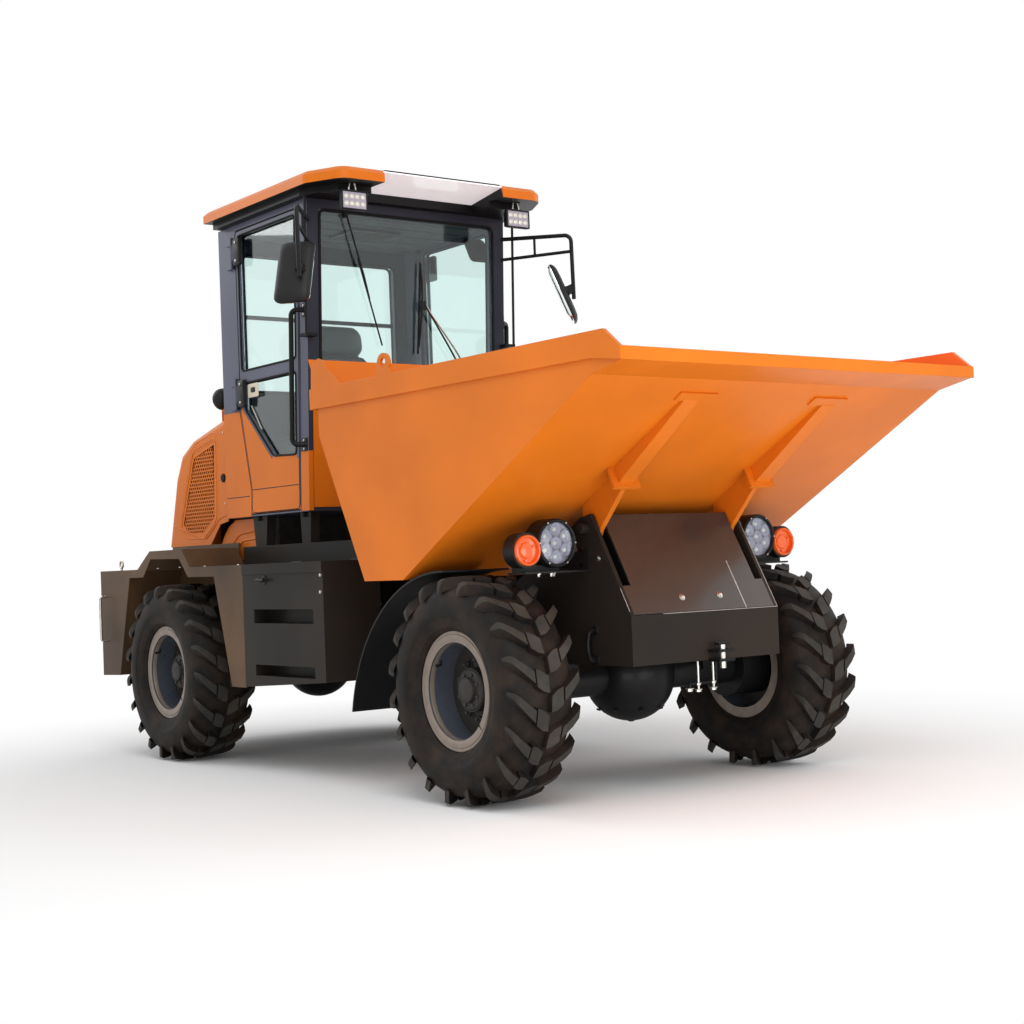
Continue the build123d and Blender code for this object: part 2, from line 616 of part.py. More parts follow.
# platform under the cab and over the step boxes
platform = block(-2552, box_x[1], -lid_hinge_y, lid_hinge_y, deck_z - panel, deck_z)
platform -= block(-2600, box_x[0], inner_y, lid_hinge_y + 1, deck_z - 20, deck_z + 1)
platform -= right(block(-2600, box_x[0], inner_y, lid_hinge_y + 1, deck_z - 20, deck_z + 1))
platform -= block(-2600, box_x[0], inner_y - panel, inner_y + 1, deck_z - 20, deck_z + 1)
platform -= right(block(-2600, box_x[0], inner_y - panel, inner_y + 1, deck_z - 20, deck_z + 1))
for s in (1, -1):
    y0, y1 = sorted((s * (chassis_half - chassis_wall), s * chassis_half))
    platform += block(-2552, -2492, y0, y1, chassis_z[1], deck_z - panel)
    y0, y1 = sorted((s * (inner_y + 2), s * (inner_y + 8)))
    platform += block(-2490, -1230, y0, y1, deck_z, deck_z + 100)
platform += block(-1880, -1800, -neck_half, neck_half, chassis_z[1], deck_z - panel)

mount = side_plate([(-2360, deck_z), (-2270, deck_z), (-2235, cab_floor_z), (-2395, cab_floor_z)], 540, 592)
front_mount = side_plate([(-1860, deck_z), (-1790, deck_z), (-1770, cab_floor_z), (-1880, cab_floor_z)],
                         540, 592)
for piece in pair(mount) + pair(front_mount):
    platform += piece
save("cab_platform", platform)

# ---- step boxes with lids ---------------------------------------------------------------
box_outline = [(box_x[0], box_bottom - 23), (box_x[1], box_bottom + 23), (box_x[1], deck_z - panel),
               (box_x[0], deck_z - panel)]
tank = side_plate(box_outline, box_inner_y, side_y)
tank_room = side_plate([
    (box_x[0] + box_wall, box_bottom + box_wall), (box_x[1] - box_wall, box_bottom + 23 + box_wall),
    (box_x[1] - box_wall, deck_z + 10), (box_x[0] + box_wall, deck_z + 10),
], box_inner_y + box_wall, side_y - box_wall)
tank -= tank_room
tread_x = (-1790, -1200)
tread_z = (752, 822)
tread_depth = 95
pocket = block(*tread_x, side_y - tread_depth, side_y, *tread_z)
pocket_shell = block(tread_x[0] - box_wall, tread_x[1] + box_wall, side_y - tread_depth - box_wall, side_y,
                     tread_z[0] - box_wall, tread_z[1] + box_wall)
low_tread_z = (490, 545)
low_pocket = block(*tread_x, side_y - tread_depth, side_y, *low_tread_z)
low_shell = block(tread_x[0] - box_wall, tread_x[1] + box_wall, side_y - tread_depth - box_wall, side_y,
                  low_tread_z[0] - box_wall, low_tread_z[1] + box_wall)
tank = tank + pocket_shell + low_shell - pocket - low_pocket
save("step_boxes", *pair(tank))

lid = block(box_x[0] + 2, box_x[1], lid_hinge_y + lid_gap + 4, side_y + 6, deck_z - panel + seat_gap, deck_z)
lid += block(box_x[0] + 2, box_x[1], side_y + lid_gap, side_y + 6, deck_z - lid_drop, deck_z)
lid += rod((box_x[0] + 60, lid_hinge_y + 6, deck_z + 2), (box_x[0] + 160, lid_hinge_y + 6, deck_z + 2), 5)
lid += rod((box_x[1] - 160, lid_hinge_y + 6, deck_z + 2), (box_x[1] - 60, lid_hinge_y + 6, deck_z + 2), 5)
save("box_lid_left", lid)
save("box_lid_right", right(lid))

# ---- power unit -------------------------------------------------------------------------
engine = block(-3280, -2700, -265, 265, 760, 1420)
for x in (-3200, -2840):
    engine += block(x, x + 60, -chassis_half + 5, chassis_half - 5, chassis_z[1], chassis_z[1] + 30)
save("engine_block", engine)
save("radiator", block(-3352, -3300, -300, 300, chassis_z[1], 1420))

# ---- cab --------------------------------------------------------------------------------
def front_x(z):
    """The cab's front plane leans forward towards the roof."""
    return cab_front_low + (cab_front_high - cab_front_low) * (z - cab_floor_z) / (cab_top_z - cab_floor_z)


def cab_slab(x_back, z0, z1, y0, y1, front=0):
    """Prism from a back plane to the leaning front plane, or that far behind it."""
    outline = [(x_back, z0), (front_x(z0) - front, z0), (front_x(z1) - front, z1), (x_back, z1)]
    return side_plate(outline, y0, y1)


door_outline = [
    (door_rear_x, door_top_z), (door_rear_x, door_waist_z), door_knee, (door_foot_x, cab_floor_z + 8),
    (front_x(cab_floor_z + 8) - post_side, cab_floor_z + 8), (front_x(door_top_z) - post_side, door_top_z),
]
screen_z = (1870, cab_top_z - 53)
screen_half = 552
back_z = (2020, cab_top_z - 125)
back_half = 500
panel_z = (cab_floor_z + 40, 1840)
shell = cab_slab(cab_rear_x, cab_floor_z, cab_top_z, -cab_half, cab_half)
shell -= cab_slab(cab_rear_x + cab_wall, cab_floor_z + 20, cab_top_z - 30,
                  -cab_half + cab_wall, cab_half - cab_wall, cab_wall)
doorway = side_plate(door_outline, cab_half - cab_wall - 1, cab_half + 1)
shell -= doorway
shell -= right(doorway)
shell -= block(-1900, -1500, -screen_half, screen_half, *screen_z)
shell -= block(-1900, -1500, -screen_half, screen_half, *panel_z)
shell -= block(cab_rear_x - 1, cab_rear_x + cab_wall + 1, -back_half, back_half, *back_z)
door_axis = (door_rear_x - 8, cab_half + 16)
hinge_z = (cab_top_z - 155, door_waist_z + 72)
for z in hinge_z:
    for z0 in (z - 85, z + 45 + seat_gap):
        knuckle = rod((*door_axis, z0), (*door_axis, z0 + 40 - seat_gap), 11)
        knuckle += block(door_axis[0] - 60, door_axis[0], cab_half, cab_half + 20, z0, z0 + 40 - seat_gap)
        shell = shell + knuckle + right(knuckle)
save("cab_frame", shell)

front_panel = side_plate([
    (front_x(panel_z[0] - 20), panel_z[0] - 20), (front_x(panel_z[0] - 20) + 4, panel_z[0] - 20),
    (front_x(panel_z[1] + 20) + 4, panel_z[1] + 20), (front_x(panel_z[1] + 20), panel_z[1] + 20),
], -600, 600)
corner_panel = side_plate([
    (cab_rear_x, door_waist_z - 22), (door_rear_x - door_gap, door_waist_z - 22),
    (door_knee[0] - door_gap, door_knee[1]),
    (door_foot_x - door_gap, cab_floor_z), (cab_rear_x, cab_floor_z),
], cab_half, cab_half + 4)
save("cab_panels", front_panel, *pair(corner_panel))


def pane(z0, z1, half, depth):
    """Sheet of glass parallel to the front plane, a depth behind it."""
    return side_plate([
        (front_x(z0) - depth - glass, z0), (front_x(z0) - depth, z0),
        (front_x(z1) - depth, z1), (front_x(z1) - depth - glass, z1),
    ], -half, half)


windscreen = pane(screen_z[0] + seat_gap, screen_z[1] - seat_gap, screen_half - seat_gap, 8)
back_pane = block(cab_rear_x + 10, cab_rear_x + 10 + glass, -back_half + seat_gap, back_half - seat_gap,
                  back_z[0] + seat_gap, back_z[1] - seat_gap)
save("cab_glass", windscreen, back_pane)

# roof band over its liner, with a clear panel in the middle of the brim
def roof_plan(back, front, side):
    """Outline of the roof drawn in by those margins."""
    (x0, x1), half = (roof_x[0] + back, roof_x[1] - front), roof_half - side
    half_line = [(x0, half), (x1 - roof_corner, half), (x1, half - roof_corner / 2)]
    return half_line + [(x, -y) for x, y in reversed(half_line)]


roof = flat_plate(roof_plan(0, 0, 0), *roof_z)
corners = [e for e in roof.edges().filter_by(Axis.Z) if e.center().X > roof_x[0] + 1]
roof = fillet(corners, roof_round)
roof = chamfer(roof.faces().sort_by(Axis.Z)[-1].edges(), roof_bevel)
roof += flat_plate(roof_plan(*liner_inset), cab_top_z, roof_z[0])
roof -= block(brim_x, roof_x[1] + 1, -brim_half, brim_half, cab_top_z - 1, roof_z[1] + 1)
save("cab_roof", roof)
skylight = side_plate([
    (brim_x + seat_gap, roof_z[0] + 12), (brim_x + seat_gap, roof_z[0] + 18),
    (roof_x[1] - 10, roof_z[1] - 6), (roof_x[1] - 10, roof_z[1] - 12),
], -brim_half + seat_gap, brim_half - seat_gap)
save("roof_skylight", skylight)

# ---- doors ------------------------------------------------------------------------------
door_face = make_face(Polyline(*[(x, 0, z) for x, z in door_outline], close=True))
door_face = offset(door_face, -door_gap, kind=Kind.INTERSECTION)
door_y = (cab_half - door_thick, cab_half + 3)
leaf = extrude(Pos(0, door_y[0], 0) * door_face, amount=door_y[1] - door_y[0], dir=(0, 1, 0))
pane_top_z = door_top_z - 35
pane_rear_x = door_rear_x + 38
door_rail_z = (2040, 2108)   # rail between the door's two panes
sill_z = 1612
upper_pane = [
    (pane_rear_x, pane_top_z), (pane_rear_x, door_rail_z[1]),
    (front_x(door_rail_z[1]) - post_side - 44, door_rail_z[1]),
    (front_x(pane_top_z) - post_side - 44, pane_top_z),
]
lower_pane = [
    (pane_rear_x + 26, door_rail_z[0]), (pane_rear_x + 26, door_waist_z - 18),
    (door_knee[0] + 253, sill_z + 10),
    (front_x(sill_z) - post_side - 44, sill_z), (front_x(door_rail_z[0]) - post_side - 44, door_rail_z[0]),
]
upper_cut = side_plate(upper_pane, door_y[0] - 1, door_y[1] + 1)
lower_cut = side_plate(lower_pane, door_y[0] - 1, door_y[1] + 1)
leaf = leaf - upper_cut - lower_cut
for z in hinge_z:
    leaf += rod((*door_axis, z - 45), (*door_axis, z + 45), 11)
    leaf += block(door_axis[0], door_axis[0] + 60, door_y[1], door_axis[1] + 4, z - 30, z + 30)
pane_y = (door_y[0] + 12, door_y[0] + 12 + glass)


def fitted(outline, y0, y1):
    """Pane that fits its opening with a small gap all round."""
    face = make_face(Polyline(*[(x, y0, z) for x, z in outline], close=True))
    return extrude(offset(face, -seat_gap, kind=Kind.INTERSECTION), amount=y1 - y0, dir=(0, 1, 0))


panes = [fitted(upper_pane, *pane_y), fitted(lower_pane, *pane_y)]
save("door_left_frame", leaf)
save("door_left_glass", *panes)
save("door_right_frame", right(leaf))
save("door_right_glass", *[right(p) for p in panes])

# ---- inside the cab ---------------------------------------------------------------------
seat_x = -2215
floor_top = cab_floor_z + 20
save("seat_base", block(seat_x - 180, seat_x + 180, -180, 180, floor_top, floor_top + 190))
save("seat_cushion", block(seat_x - 230, seat_x + 240, -240, 240, floor_top + 190 + seat_gap,
                           floor_top + 300))
seat_back = side_plate([(seat_x - 245, floor_top + 300), (seat_x - 120, floor_top + 305),
                        (seat_x - 200, floor_top + 920), (seat_x - 300, floor_top + 920)], -225, 225)
save("seat_backrest", seat_back)
wheel_at = (-1960, 0, floor_top + 650)
wheel_lean = 0.2
hub_half = 12
tilt = Plane(origin=wheel_at, z_dir=(-wheel_lean, 0, 1))
column_top = tilt.origin - tilt.z_dir * (hub_half + seat_gap)
column_foot = (wheel_at[0] + wheel_lean * (wheel_at[2] - floor_top), 0, floor_top)
column = rod(column_foot, tuple(column_top), 28)
column += block(column_foot[0] - 55, column_foot[0] + 40, -60, 60, floor_top, floor_top + 24)
column -= block(-2100, -1700, -90, 90, floor_top - 60, floor_top)
steering = tilt * Torus(185, 13)
steering += tilt * Cylinder(38, 2 * hub_half)
for angle in (90, 210, 330):
    steering += tilt * Rot(0, 0, angle) * Pos(100, 0, 0) * Box(160, 26, 10)
save("steering_wheel", steering)
dash = block(-1860, -1790, -520, -120, floor_top, 1760)
console = block(-2420, -1990, -500, -300, floor_top, 1720)
save("consoles", column, dash, console)

# ---- fittings on the cab ----------------------------------------------------------------
work_lamp = (roof_x[1] - 75, 515)
work_lamp_z = (cab_top_z - 110, cab_top_z - 10)
lamp_box = block(work_lamp[0] - 42, work_lamp[0] + 14, work_lamp[1] - 78, work_lamp[1] + 78, *work_lamp_z)
lamp_box += block(work_lamp[0] - 30, work_lamp[0] - 4, work_lamp[1] - 20, work_lamp[1] + 20,
                  work_lamp_z[1], roof_z[0] - seat_gap)
save("work_lamps", *pair(lamp_box))

arm_r = 11
mirror_x = roof_x[1] - 48
mirror_y = cab_half + 235
mirror_z = cab_top_z - 115   # upper arm
mirror_low_z = mirror_z - 100
root = (front_x(mirror_z) - 20, cab_half - 20)
stay_x = (front_x(mirror_z) + 45, front_x(mirror_z) + 15)
stay_z = (cab_top_z - seat_gap, cab_top_z - 705)
stay_y = cab_half + 33
clamp_z = mirror_z - 300
upper = bent_tube([
    (*root, mirror_z + 5), (mirror_x, mirror_y, mirror_z - 5), (mirror_x + 6, mirror_y, clamp_z - 60),
], 38, arm_r)
lower = rod((*root, mirror_low_z - 10), (mirror_x, mirror_y, mirror_low_z + 5), arm_r - 2)
strut_x = (root[0] + mirror_x) / 2
strut_y = (root[1] + mirror_y) / 2
strut = rod((strut_x, strut_y, mirror_low_z), (strut_x, strut_y, mirror_z), arm_r - 4)
stay_bar = rod((stay_x[1], stay_y, stay_z[1]), (stay_x[0], stay_y, stay_z[0]), arm_r - 4)
stay_foot = block(root[0] - 20, stay_x[1] + 8, cab_half - 30, stay_y + 6, stay_z[1] - 8, stay_z[1] + 8)
# each head leans back by head_lean and its back is turned outwards by head_turn
head_size = (58, 186, 342)
head_turn = 50
head_lean = 22
head_place = Pos(mirror_x, mirror_y, clamp_z) * Rot(0, 0, head_turn) * Rot(0, -head_lean, 0)
clamp_reach = 34
clamp = head_place * Pos(-clamp_reach / 2, 0, 0) * Box(clamp_reach, 34, 46)
frame_arm = upper + lower + strut + stay_bar + stay_foot + clamp
frame_arm -= cab_slab(cab_rear_x, cab_floor_z, cab_top_z, -cab_half, cab_half)
save("mirror_arms", *pair(frame_arm))
head = Box(*head_size)
head = fillet(head.edges().filter_by(Axis.X), 34)
head = chamfer(head.faces().sort_by(Axis.X)[-1].edges(), 24)
head = head_place * Pos(-clamp_reach - seat_gap - head_size[0] / 2, 42, 0) * head
save("mirror_heads", *pair(head))

grab_z = (1655, 2345)
grab_out = cab_half + 62
grab_foot = [(front_x(z) - 0.5 * post_side, z) for z in grab_z]
grab = bent_tube([
    (grab_foot[0][0] + 20, cab_half - 4, grab_z[0]), (grab_foot[0][0] - 23, grab_out, grab_z[0]),
    (grab_foot[1][0] - 22, grab_out, grab_z[1]), (grab_foot[1][0] + 26, cab_half - 4, grab_z[1]),
], 30, 13)
grab -= cab_slab(cab_rear_x, cab_floor_z, cab_top_z, -cab_half, cab_half)
save("grab_rails", *pair(grab))

# ---- engine hood ------------------------------------------------------------------------


def rolled(outline, half, radius):
    """Prism between two sides whose long edges over the flare are rounded."""
    solid = side_plate(outline, -half, half)
    edges = [e for e in solid.edges() if abs(abs(e.center().Y) - half) < 1
             and e.center().Z > hood_flare[-1][1] + 40 and e.center().X < hood_front_x - 5]
    return fillet(edges, radius)


hood_solid = rolled(hood_top + hood_flare, hood_half, hood_roll)
room_top = [(hood_top[0][0] + 1, hood_top[0][1] - hood_sheet)]
room_top += [(x + 0.6 * hood_sheet, z - hood_sheet) for x, z in hood_top[1:-1]]
room_top += [(hood_top[-1][0] + hood_sheet, hood_low - 6)]
room_flare = [(x, z - 6) for x, z in hood_flare[:-1]] + [(hood_flare[-1][0] + 1, hood_flare[-1][1] - 10)]
hood = hood_solid - rolled(room_top + room_flare, hood_half - hood_sheet, hood_roll - hood_sheet)
grille_cut = side_plate(grille_outline, hood_half - hood_sheet - 1, hood_half + 1)
hood = hood - grille_cut - right(grille_cut)
for s in (1, -1):
    for y in (362, 444):
        y0, y1 = sorted((s * y, s * (y + 14)))
        tab = block(hood_pivot[0] - 35, hood_pivot[0] + 18, y0, y1, hood_low, hood_low + 60) & hood_solid
        tab += block(hood_pivot[0] - 14, hood_pivot[0] + 14, y0, y1, hood_pivot[1], hood_low + 10)
        tab += rod((hood_pivot[0], y0, hood_pivot[1]), (hood_pivot[0], y1, hood_pivot[1]), 17)
        tab -= rod((hood_pivot[0], y0 - 1, hood_pivot[1]), (hood_pivot[0], y1 + 1, hood_pivot[1]),
                   9 + seat_gap)
        hood += tab
save("engine_hood", hood)


def inside(outline, x, z, margin):
    """Whether a point lies within a convex outline, at least that far from its edges."""
    gaps = [((bx - ax) * (z - az) - (bz - az) * (x - ax)) / math.hypot(bx - ax, bz - az)
            for (ax, az), (bx, bz) in zip(outline, outline[1:] + outline[:1])]
    return min(gaps) > margin or max(gaps) < -margin


grille = fitted(grille_outline, hood_half - 4, hood_half - 1)
holes = []
for row in range(-8, 9):
    for column in range(-8, 9):
        x = grille_middle[0] + grille_pitch * (column + 0.5 * (row % 2))
        z = grille_middle[1] + grille_pitch * math.sqrt(0.75) * row
        if inside(grille_outline, x, z, grille_margin):
            turns = [math.tau * k / 6 for k in range(6)]
            ring = [(x + grille_hole_r * math.sin(t), z + grille_hole_r * math.cos(t)) for t in turns]
            holes.append(side_plate(ring, hood_half - 5, hood_half))
grille -= holes
save("hood_grilles", *pair(grille))

# ---- rear fittings ----------------------------------------------------------------------
handle = bent_tube([
    (handle_x, side_y, handle_z[0]), (handle_x, side_y + handle_out, handle_z[0]),
    (handle_x, side_y + handle_out, handle_z[1]), (handle_x, side_y, handle_z[1]),
], 16, 8)
tail_lamp = block(rear_x - tail_lamp_out, rear_x, 700, 860, 820, 900)
eye = Pos(eye_x, side_y - 40, deck_z + 34) * Rot(90, 0, 0) * Torus(20, 6)
eye += rod((eye_x, side_y - 40, deck_z), (eye_x, side_y - 40, deck_z + 18), 7)
save("rear_fittings", *pair(handle), *pair(eye))
save("tail_lamps", *pair(tail_lamp))
post = block(rear_lamp[0] - 45, rear_lamp[0] - 15, rear_lamp[1] - 15, rear_lamp[1] + 15, rear_lamp[2] - 198,
             rear_lamp[2] - 8) - hood_solid
round_lamp = rod((rear_lamp[0] - 60, *rear_lamp[1:]), rear_lamp, rear_lamp_r)
save("rear_work_lamps", *pair(post + round_lamp))
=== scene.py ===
"""Finishes and fine pieces of a cabbed, articulated, front-tipping site dumper.

Metres, +X forward, +Y to the driver's left, +Z up.  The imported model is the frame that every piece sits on.
"""

import math

import bmesh
import bpy
from bpy.props import FloatProperty, FloatVectorProperty, IntProperty, PointerProperty
from mathutils import Matrix, Vector


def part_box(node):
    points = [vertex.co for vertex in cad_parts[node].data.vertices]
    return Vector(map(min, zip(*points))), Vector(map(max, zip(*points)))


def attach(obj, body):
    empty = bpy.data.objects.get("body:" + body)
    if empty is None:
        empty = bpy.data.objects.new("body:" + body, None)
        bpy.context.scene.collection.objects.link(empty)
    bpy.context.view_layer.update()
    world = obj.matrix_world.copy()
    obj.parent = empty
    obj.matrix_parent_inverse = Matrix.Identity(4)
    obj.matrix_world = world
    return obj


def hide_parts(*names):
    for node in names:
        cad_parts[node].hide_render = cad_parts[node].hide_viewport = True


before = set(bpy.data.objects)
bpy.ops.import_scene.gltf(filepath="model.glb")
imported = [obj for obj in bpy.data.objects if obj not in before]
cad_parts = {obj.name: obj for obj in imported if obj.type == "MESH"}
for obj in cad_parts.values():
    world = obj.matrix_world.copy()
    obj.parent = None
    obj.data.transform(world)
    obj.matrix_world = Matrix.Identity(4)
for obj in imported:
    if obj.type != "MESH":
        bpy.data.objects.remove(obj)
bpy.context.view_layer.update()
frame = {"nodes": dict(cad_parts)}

bl_info = {
    "name": "Site Dumper Finishes",
    "version": (1, 0, 0),
    "blender": (4, 5, 0),
    "location": "3D View > Sidebar > Dumper",
    "description": "Paint, tyres, glass, seat and fittings of a front-tipping site dumper",
    "category": "Object",
}

MM = 0.001
X, Y, Z = Vector((1, 0, 0)), Vector((0, 1, 0)), Vector((0, 0, 1))


# ---- places and colours ------------------------------------------------------------------
def centre(node):
    """Middle of a node's box."""
    low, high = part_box(node)
    return (low + high) / 2


FRONT_AXLE_X = centre("rim_front_left").x


def by(x, y, z):
    """Offset given in millimetres."""
    return Vector((x, y, z)) * MM


def at(x, y, z):
    """Point given in millimetres from the ground under the front axle's middle."""
    return Vector((FRONT_AXLE_X, 0, 0)) + by(x, y, z)


def both():
    """Each side of the machine, with its own place function whose y grows outwards."""
    return [(side, lambda x, y, z, side=side: at(x, side * y, z)) for side in (1, -1)]


def around(count, radius, shift=0.0):
    """Sideways and upward parts of places spaced evenly on a circle that starts at its top."""
    turns = [math.tau * (i + shift) / count for i in range(count)]
    return [(radius * math.sin(t), radius * math.cos(t)) for t in turns]


def linear(code):
    """sRGB hex text as linear RGBA."""
    parts = [int(code[i:i + 2], 16) / 255 for i in (1, 3, 5)]
    return [p / 12.92 if p <= 0.04045 else ((p + 0.055) / 1.055) ** 2.4 for p in parts] + [1.0]


def colour(text, tint, hex_code):
    """Colour property with its default as sRGB hex."""
    return FloatVectorProperty(name=text, description=tint, default=linear(hex_code), size=4, min=0.0, max=1.0,
                               subtype="COLOR")


def length(text, what, mm, low, high):
    """Length property whose default is in millimetres."""
    return FloatProperty(name=text, description=what, default=mm * MM, min=low * MM, max=high * MM,
                         subtype="DISTANCE", unit="LENGTH")


class DumperColours(bpy.types.PropertyGroup):
    """Colours of the machine's finishes."""

    body: colour("Body enamel", "Orange of the skip, hood and roof edge", "#DA7218")
    tub: colour("Tub enamel", "Brighter orange inside the skip", "#FA7026")
    frame: colour("Frame enamel", "Charcoal of the frames, boxes and mudguards", "#232221")
    cab: colour("Cab enamel", "Slate of the cab's posts and doors", "#5E6172")
    rubber: colour("Tyre rubber", "Carcass of the tyres", "#191716")
    dusty: colour("Lug tops", "Dusty worn tops of the lugs", "#312F2C")
    rim: colour("Rim paint", "Silver of the rims' flanges", "#877B71")
    barrel: colour("Rim inside", "Blue grey in the rims' wells", "#4E545F")
    glass: colour("Glass tint", "Green of the cab's safety glass", "#EAF8F6")
    amber: colour("Indicator lens", "Orange of the indicators", "#EE6420")


class DumperSizes(bpy.types.PropertyGroup):
    """Sizes of the fine pieces."""

    lugs: IntProperty(name="Lugs a side", description="Lugs on each side of a tyre", default=19, min=12, max=28)
    lug_height: length("Lug height", "Tread depth of the tyres", 28, 10, 40)
    wheel_nuts: IntProperty(name="Wheel nuts", description="Nuts on each wheel disc", default=10, min=4, max=12)
    hole: length("Grille hole", "Width across the hood grille's hexagonal holes", 17, 6, 30)
    pipe: length("Hydraulic pipe", "Outer diameter of the formed steel pipes", 18, 10, 30)
    wire: length("Mesh wire", "Wire thickness of the skylight's guard", 6, 2, 12)


def colours():
    """The scene's colour settings."""
    return bpy.context.scene.dumper_colours


def sizes():
    """The scene's size settings."""
    return bpy.context.scene.dumper_sizes


# ---- finishes ----------------------------------------------------------------------------
def add(tree, kind, sockets=None, **settings):
    """Add a shader node and fill or link its sockets; a node stands for its first output."""
    node = tree.nodes.new("ShaderNode" + kind)
    for key, value in settings.items():
        setattr(node, key, value)
    for key, value in (sockets or {}).items():
        value = value.outputs[0] if isinstance(value, bpy.types.Node) else value
        if isinstance(value, bpy.types.NodeSocket):
            tree.links.new(value, node.inputs[key])
        else:
            node.inputs[key].default_value = value
    return node


def start(name):
    """New material with an empty tree: returns it, its tree and a coordinate in metres."""
    material = bpy.data.materials.new(name)
    material.use_nodes = True
    tree = material.node_tree
    tree.nodes.clear()
    return material, tree, add(tree, "TexCoord").outputs["Object"]


def end(tree, sockets):
    """The main shader with these sockets, shown by the material."""
    shader = add(tree, "BsdfPrincipled", sockets)
    add(tree, "OutputMaterial", {"Surface": shader})


def shaded(tone, factor):
    """A colour made lighter or darker."""
    return [min(1.0, c * factor) for c in tone[:3]] + [1.0]


def per_metre(mm):
    """Texture scale whose pattern repeats about every so many millimetres."""
    return 1000.0 / mm


def blotches(tree, place, mm, detail, levels, under, over, share=1.0, fray=0.5):
    """One colour over another in cloudy patches about so many millimetres wide; returns colour and cloud."""
    cloud = add(tree, "TexNoise", {"Vector": place, "Scale": per_metre(mm), "Detail": detail,
                                             "Roughness": fray})
    cover = add(tree, "MapRange", {0: cloud, 1: levels[0], 2: levels[1], 4: share})
    mix = add(tree, "Mix", {0: cover, 6: under, 7: over}, data_type="RGBA")
    return mix.outputs[2], cloud


def relief(tree, place, pattern, mm, depth_mm, strength, edge_mm=0.0, **detail):
    """Fine relief about so many millimetres wide and deep, over edges softened by edge_mm."""
    grain = add(tree, "Tex" + pattern, {"Vector": place, "Scale": per_metre(mm), **detail})
    sockets = {"Height": grain, "Distance": depth_mm * MM, "Strength": strength}
    if edge_mm:
        edge = add(tree, "Bevel", {"Radius": edge_mm * MM}, samples=4)
        sockets["Normal"] = edge
    return add(tree, "Bump", sockets)


def enamel(name, tone, roughness=0.38, coat=0.05, dust=0.05, soil=0.0, gloss=0.16, edge_mm=2.5):
    """Two-pack enamel sprayed on sheet steel.

    It gives the eye slow clouds of thicker and thinner paint, a fine orange peel in the reflections, softened
    sheet edges, a film of dust on what faces up and, where there is soil, a brown bloom over broad areas.
    """
    material, tree, place = start(name)
    base, _ = blotches(tree, place, 520, 3.0, (0.32, 0.68), shaded(tone, 0.9), shaded(tone, 1.07))
    if soil:
        base, _ = blotches(tree, place, 900, 5.0, (0.34, 0.7), base, linear("#8C6A49"), soil)
    facing = add(tree, "SeparateXYZ", {0: add(tree, "NewGeometry").outputs["Normal"]})
    speck = add(tree, "TexNoise", {"Vector": place, "Scale": per_metre(70), "Detail": 6.0})
    upward = add(tree, "Math", {0: facing.outputs[2], 1: speck}, operation="MULTIPLY")
    film = add(tree, "MapRange", {0: upward, 1: 0.2, 2: 0.75, 4: dust})
    dusted = add(tree, "Mix", {0: film, 6: base, 7: linear("#9A8F82")}, data_type="RGBA")
    end(tree, {"Base Color": dusted.outputs[2], "Roughness": roughness, "IOR": 1.5, "Coat Weight": coat,
               "Coat Roughness": 0.09, "Coat IOR": 1.5, "Specular IOR Level": gloss,
               "Normal": relief(tree, place, "Noise", 9, 0.25, 0.16, edge_mm, Detail=1.0)})
    return material


def moulded(name, tone, roughness=0.5, grain_mm=2.2, depth_mm=0.25, strength=0.35, **sockets):
    """Injection-moulded ABS or PVC with a spark-eroded grain, drawn a little coarser than the real one."""
    material, tree, place = start(name)
    base, _ = blotches(tree, place, 160, 4.0, (0, 1), shaded(tone, 0.8), shaded(tone, 1.25))
    end(tree, {"Base Color": base, "Roughness": roughness, "IOR": 1.48,
               "Normal": relief(tree, place, "Voronoi", grain_mm, depth_mm, strength), **sockets})
    return material


def rubber(name, tone, dirt="#4A3728", share=0.5):
    """Vulcanised natural rubber: near-black, broad dull sheen, with dry soil rubbed into it."""
    material, tree, place = start(name)
    base, _ = blotches(tree, place, 130, 7.0, (0.42, 0.78), tone, linear(dirt), share, fray=0.62)
    end(tree, {"Base Color": base, "Roughness": 0.66, "IOR": 1.52, "Specular IOR Level": 0.16,
               "Normal": relief(tree, place, "Noise", 5, 0.6, 0.4, Detail=4.0)})
    return material


def metal(name, tone, roughness=0.35, metallic=1.0, strength=0.25, stain="#3B332C", share=0.25):
    """Bare, plated or cast metal: bright or grey, with duller patches where oil and dust sit, and a fine grain."""
    material, tree, place = start(name)
    base, patch = blotches(tree, place, 45, 5.0, (0.45, 0.8), tone, linear(stain), share)
    dull = add(tree, "MapRange", {0: patch, 1: 0.3, 2: 0.8, 3: roughness * 0.8,
                                            4: min(1.0, roughness * 1.5)})
    end(tree, {"Metallic": metallic, "Base Color": base, "Roughness": dull,
               "Normal": relief(tree, place, "Noise", 3, 0.3, strength, Detail=3.0)})
    return material


def clear(name, tone, haze=0.04):
    """Clear glass or plastic: tinted through its thickness, with faint wipe marks, and open to light."""
    material, tree, place = start(name)
    wipe = add(tree, "TexNoise", {"Vector": place, "Scale": per_metre(240), "Detail": 5.0})
    soft = add(tree, "MapRange", {0: wipe, 1: 0.5, 2: 0.85, 3: 0.02, 4: 0.02 + haze})
    pane = add(tree, "BsdfPrincipled", {"Base Color": tone, "IOR": 1.5, "Transmission Weight": 1.0,
                                                  "Roughness": soft})
    lit = add(tree, "BsdfTransparent", {"Color": shaded(tone, 0.75)})
    ray = add(tree, "LightPath").outputs["Is Shadow Ray"]
    mix = add(tree, "MixShader", {0: ray, 1: pane, 2: lit})
    add(tree, "OutputMaterial", {"Surface": mix})
    return material


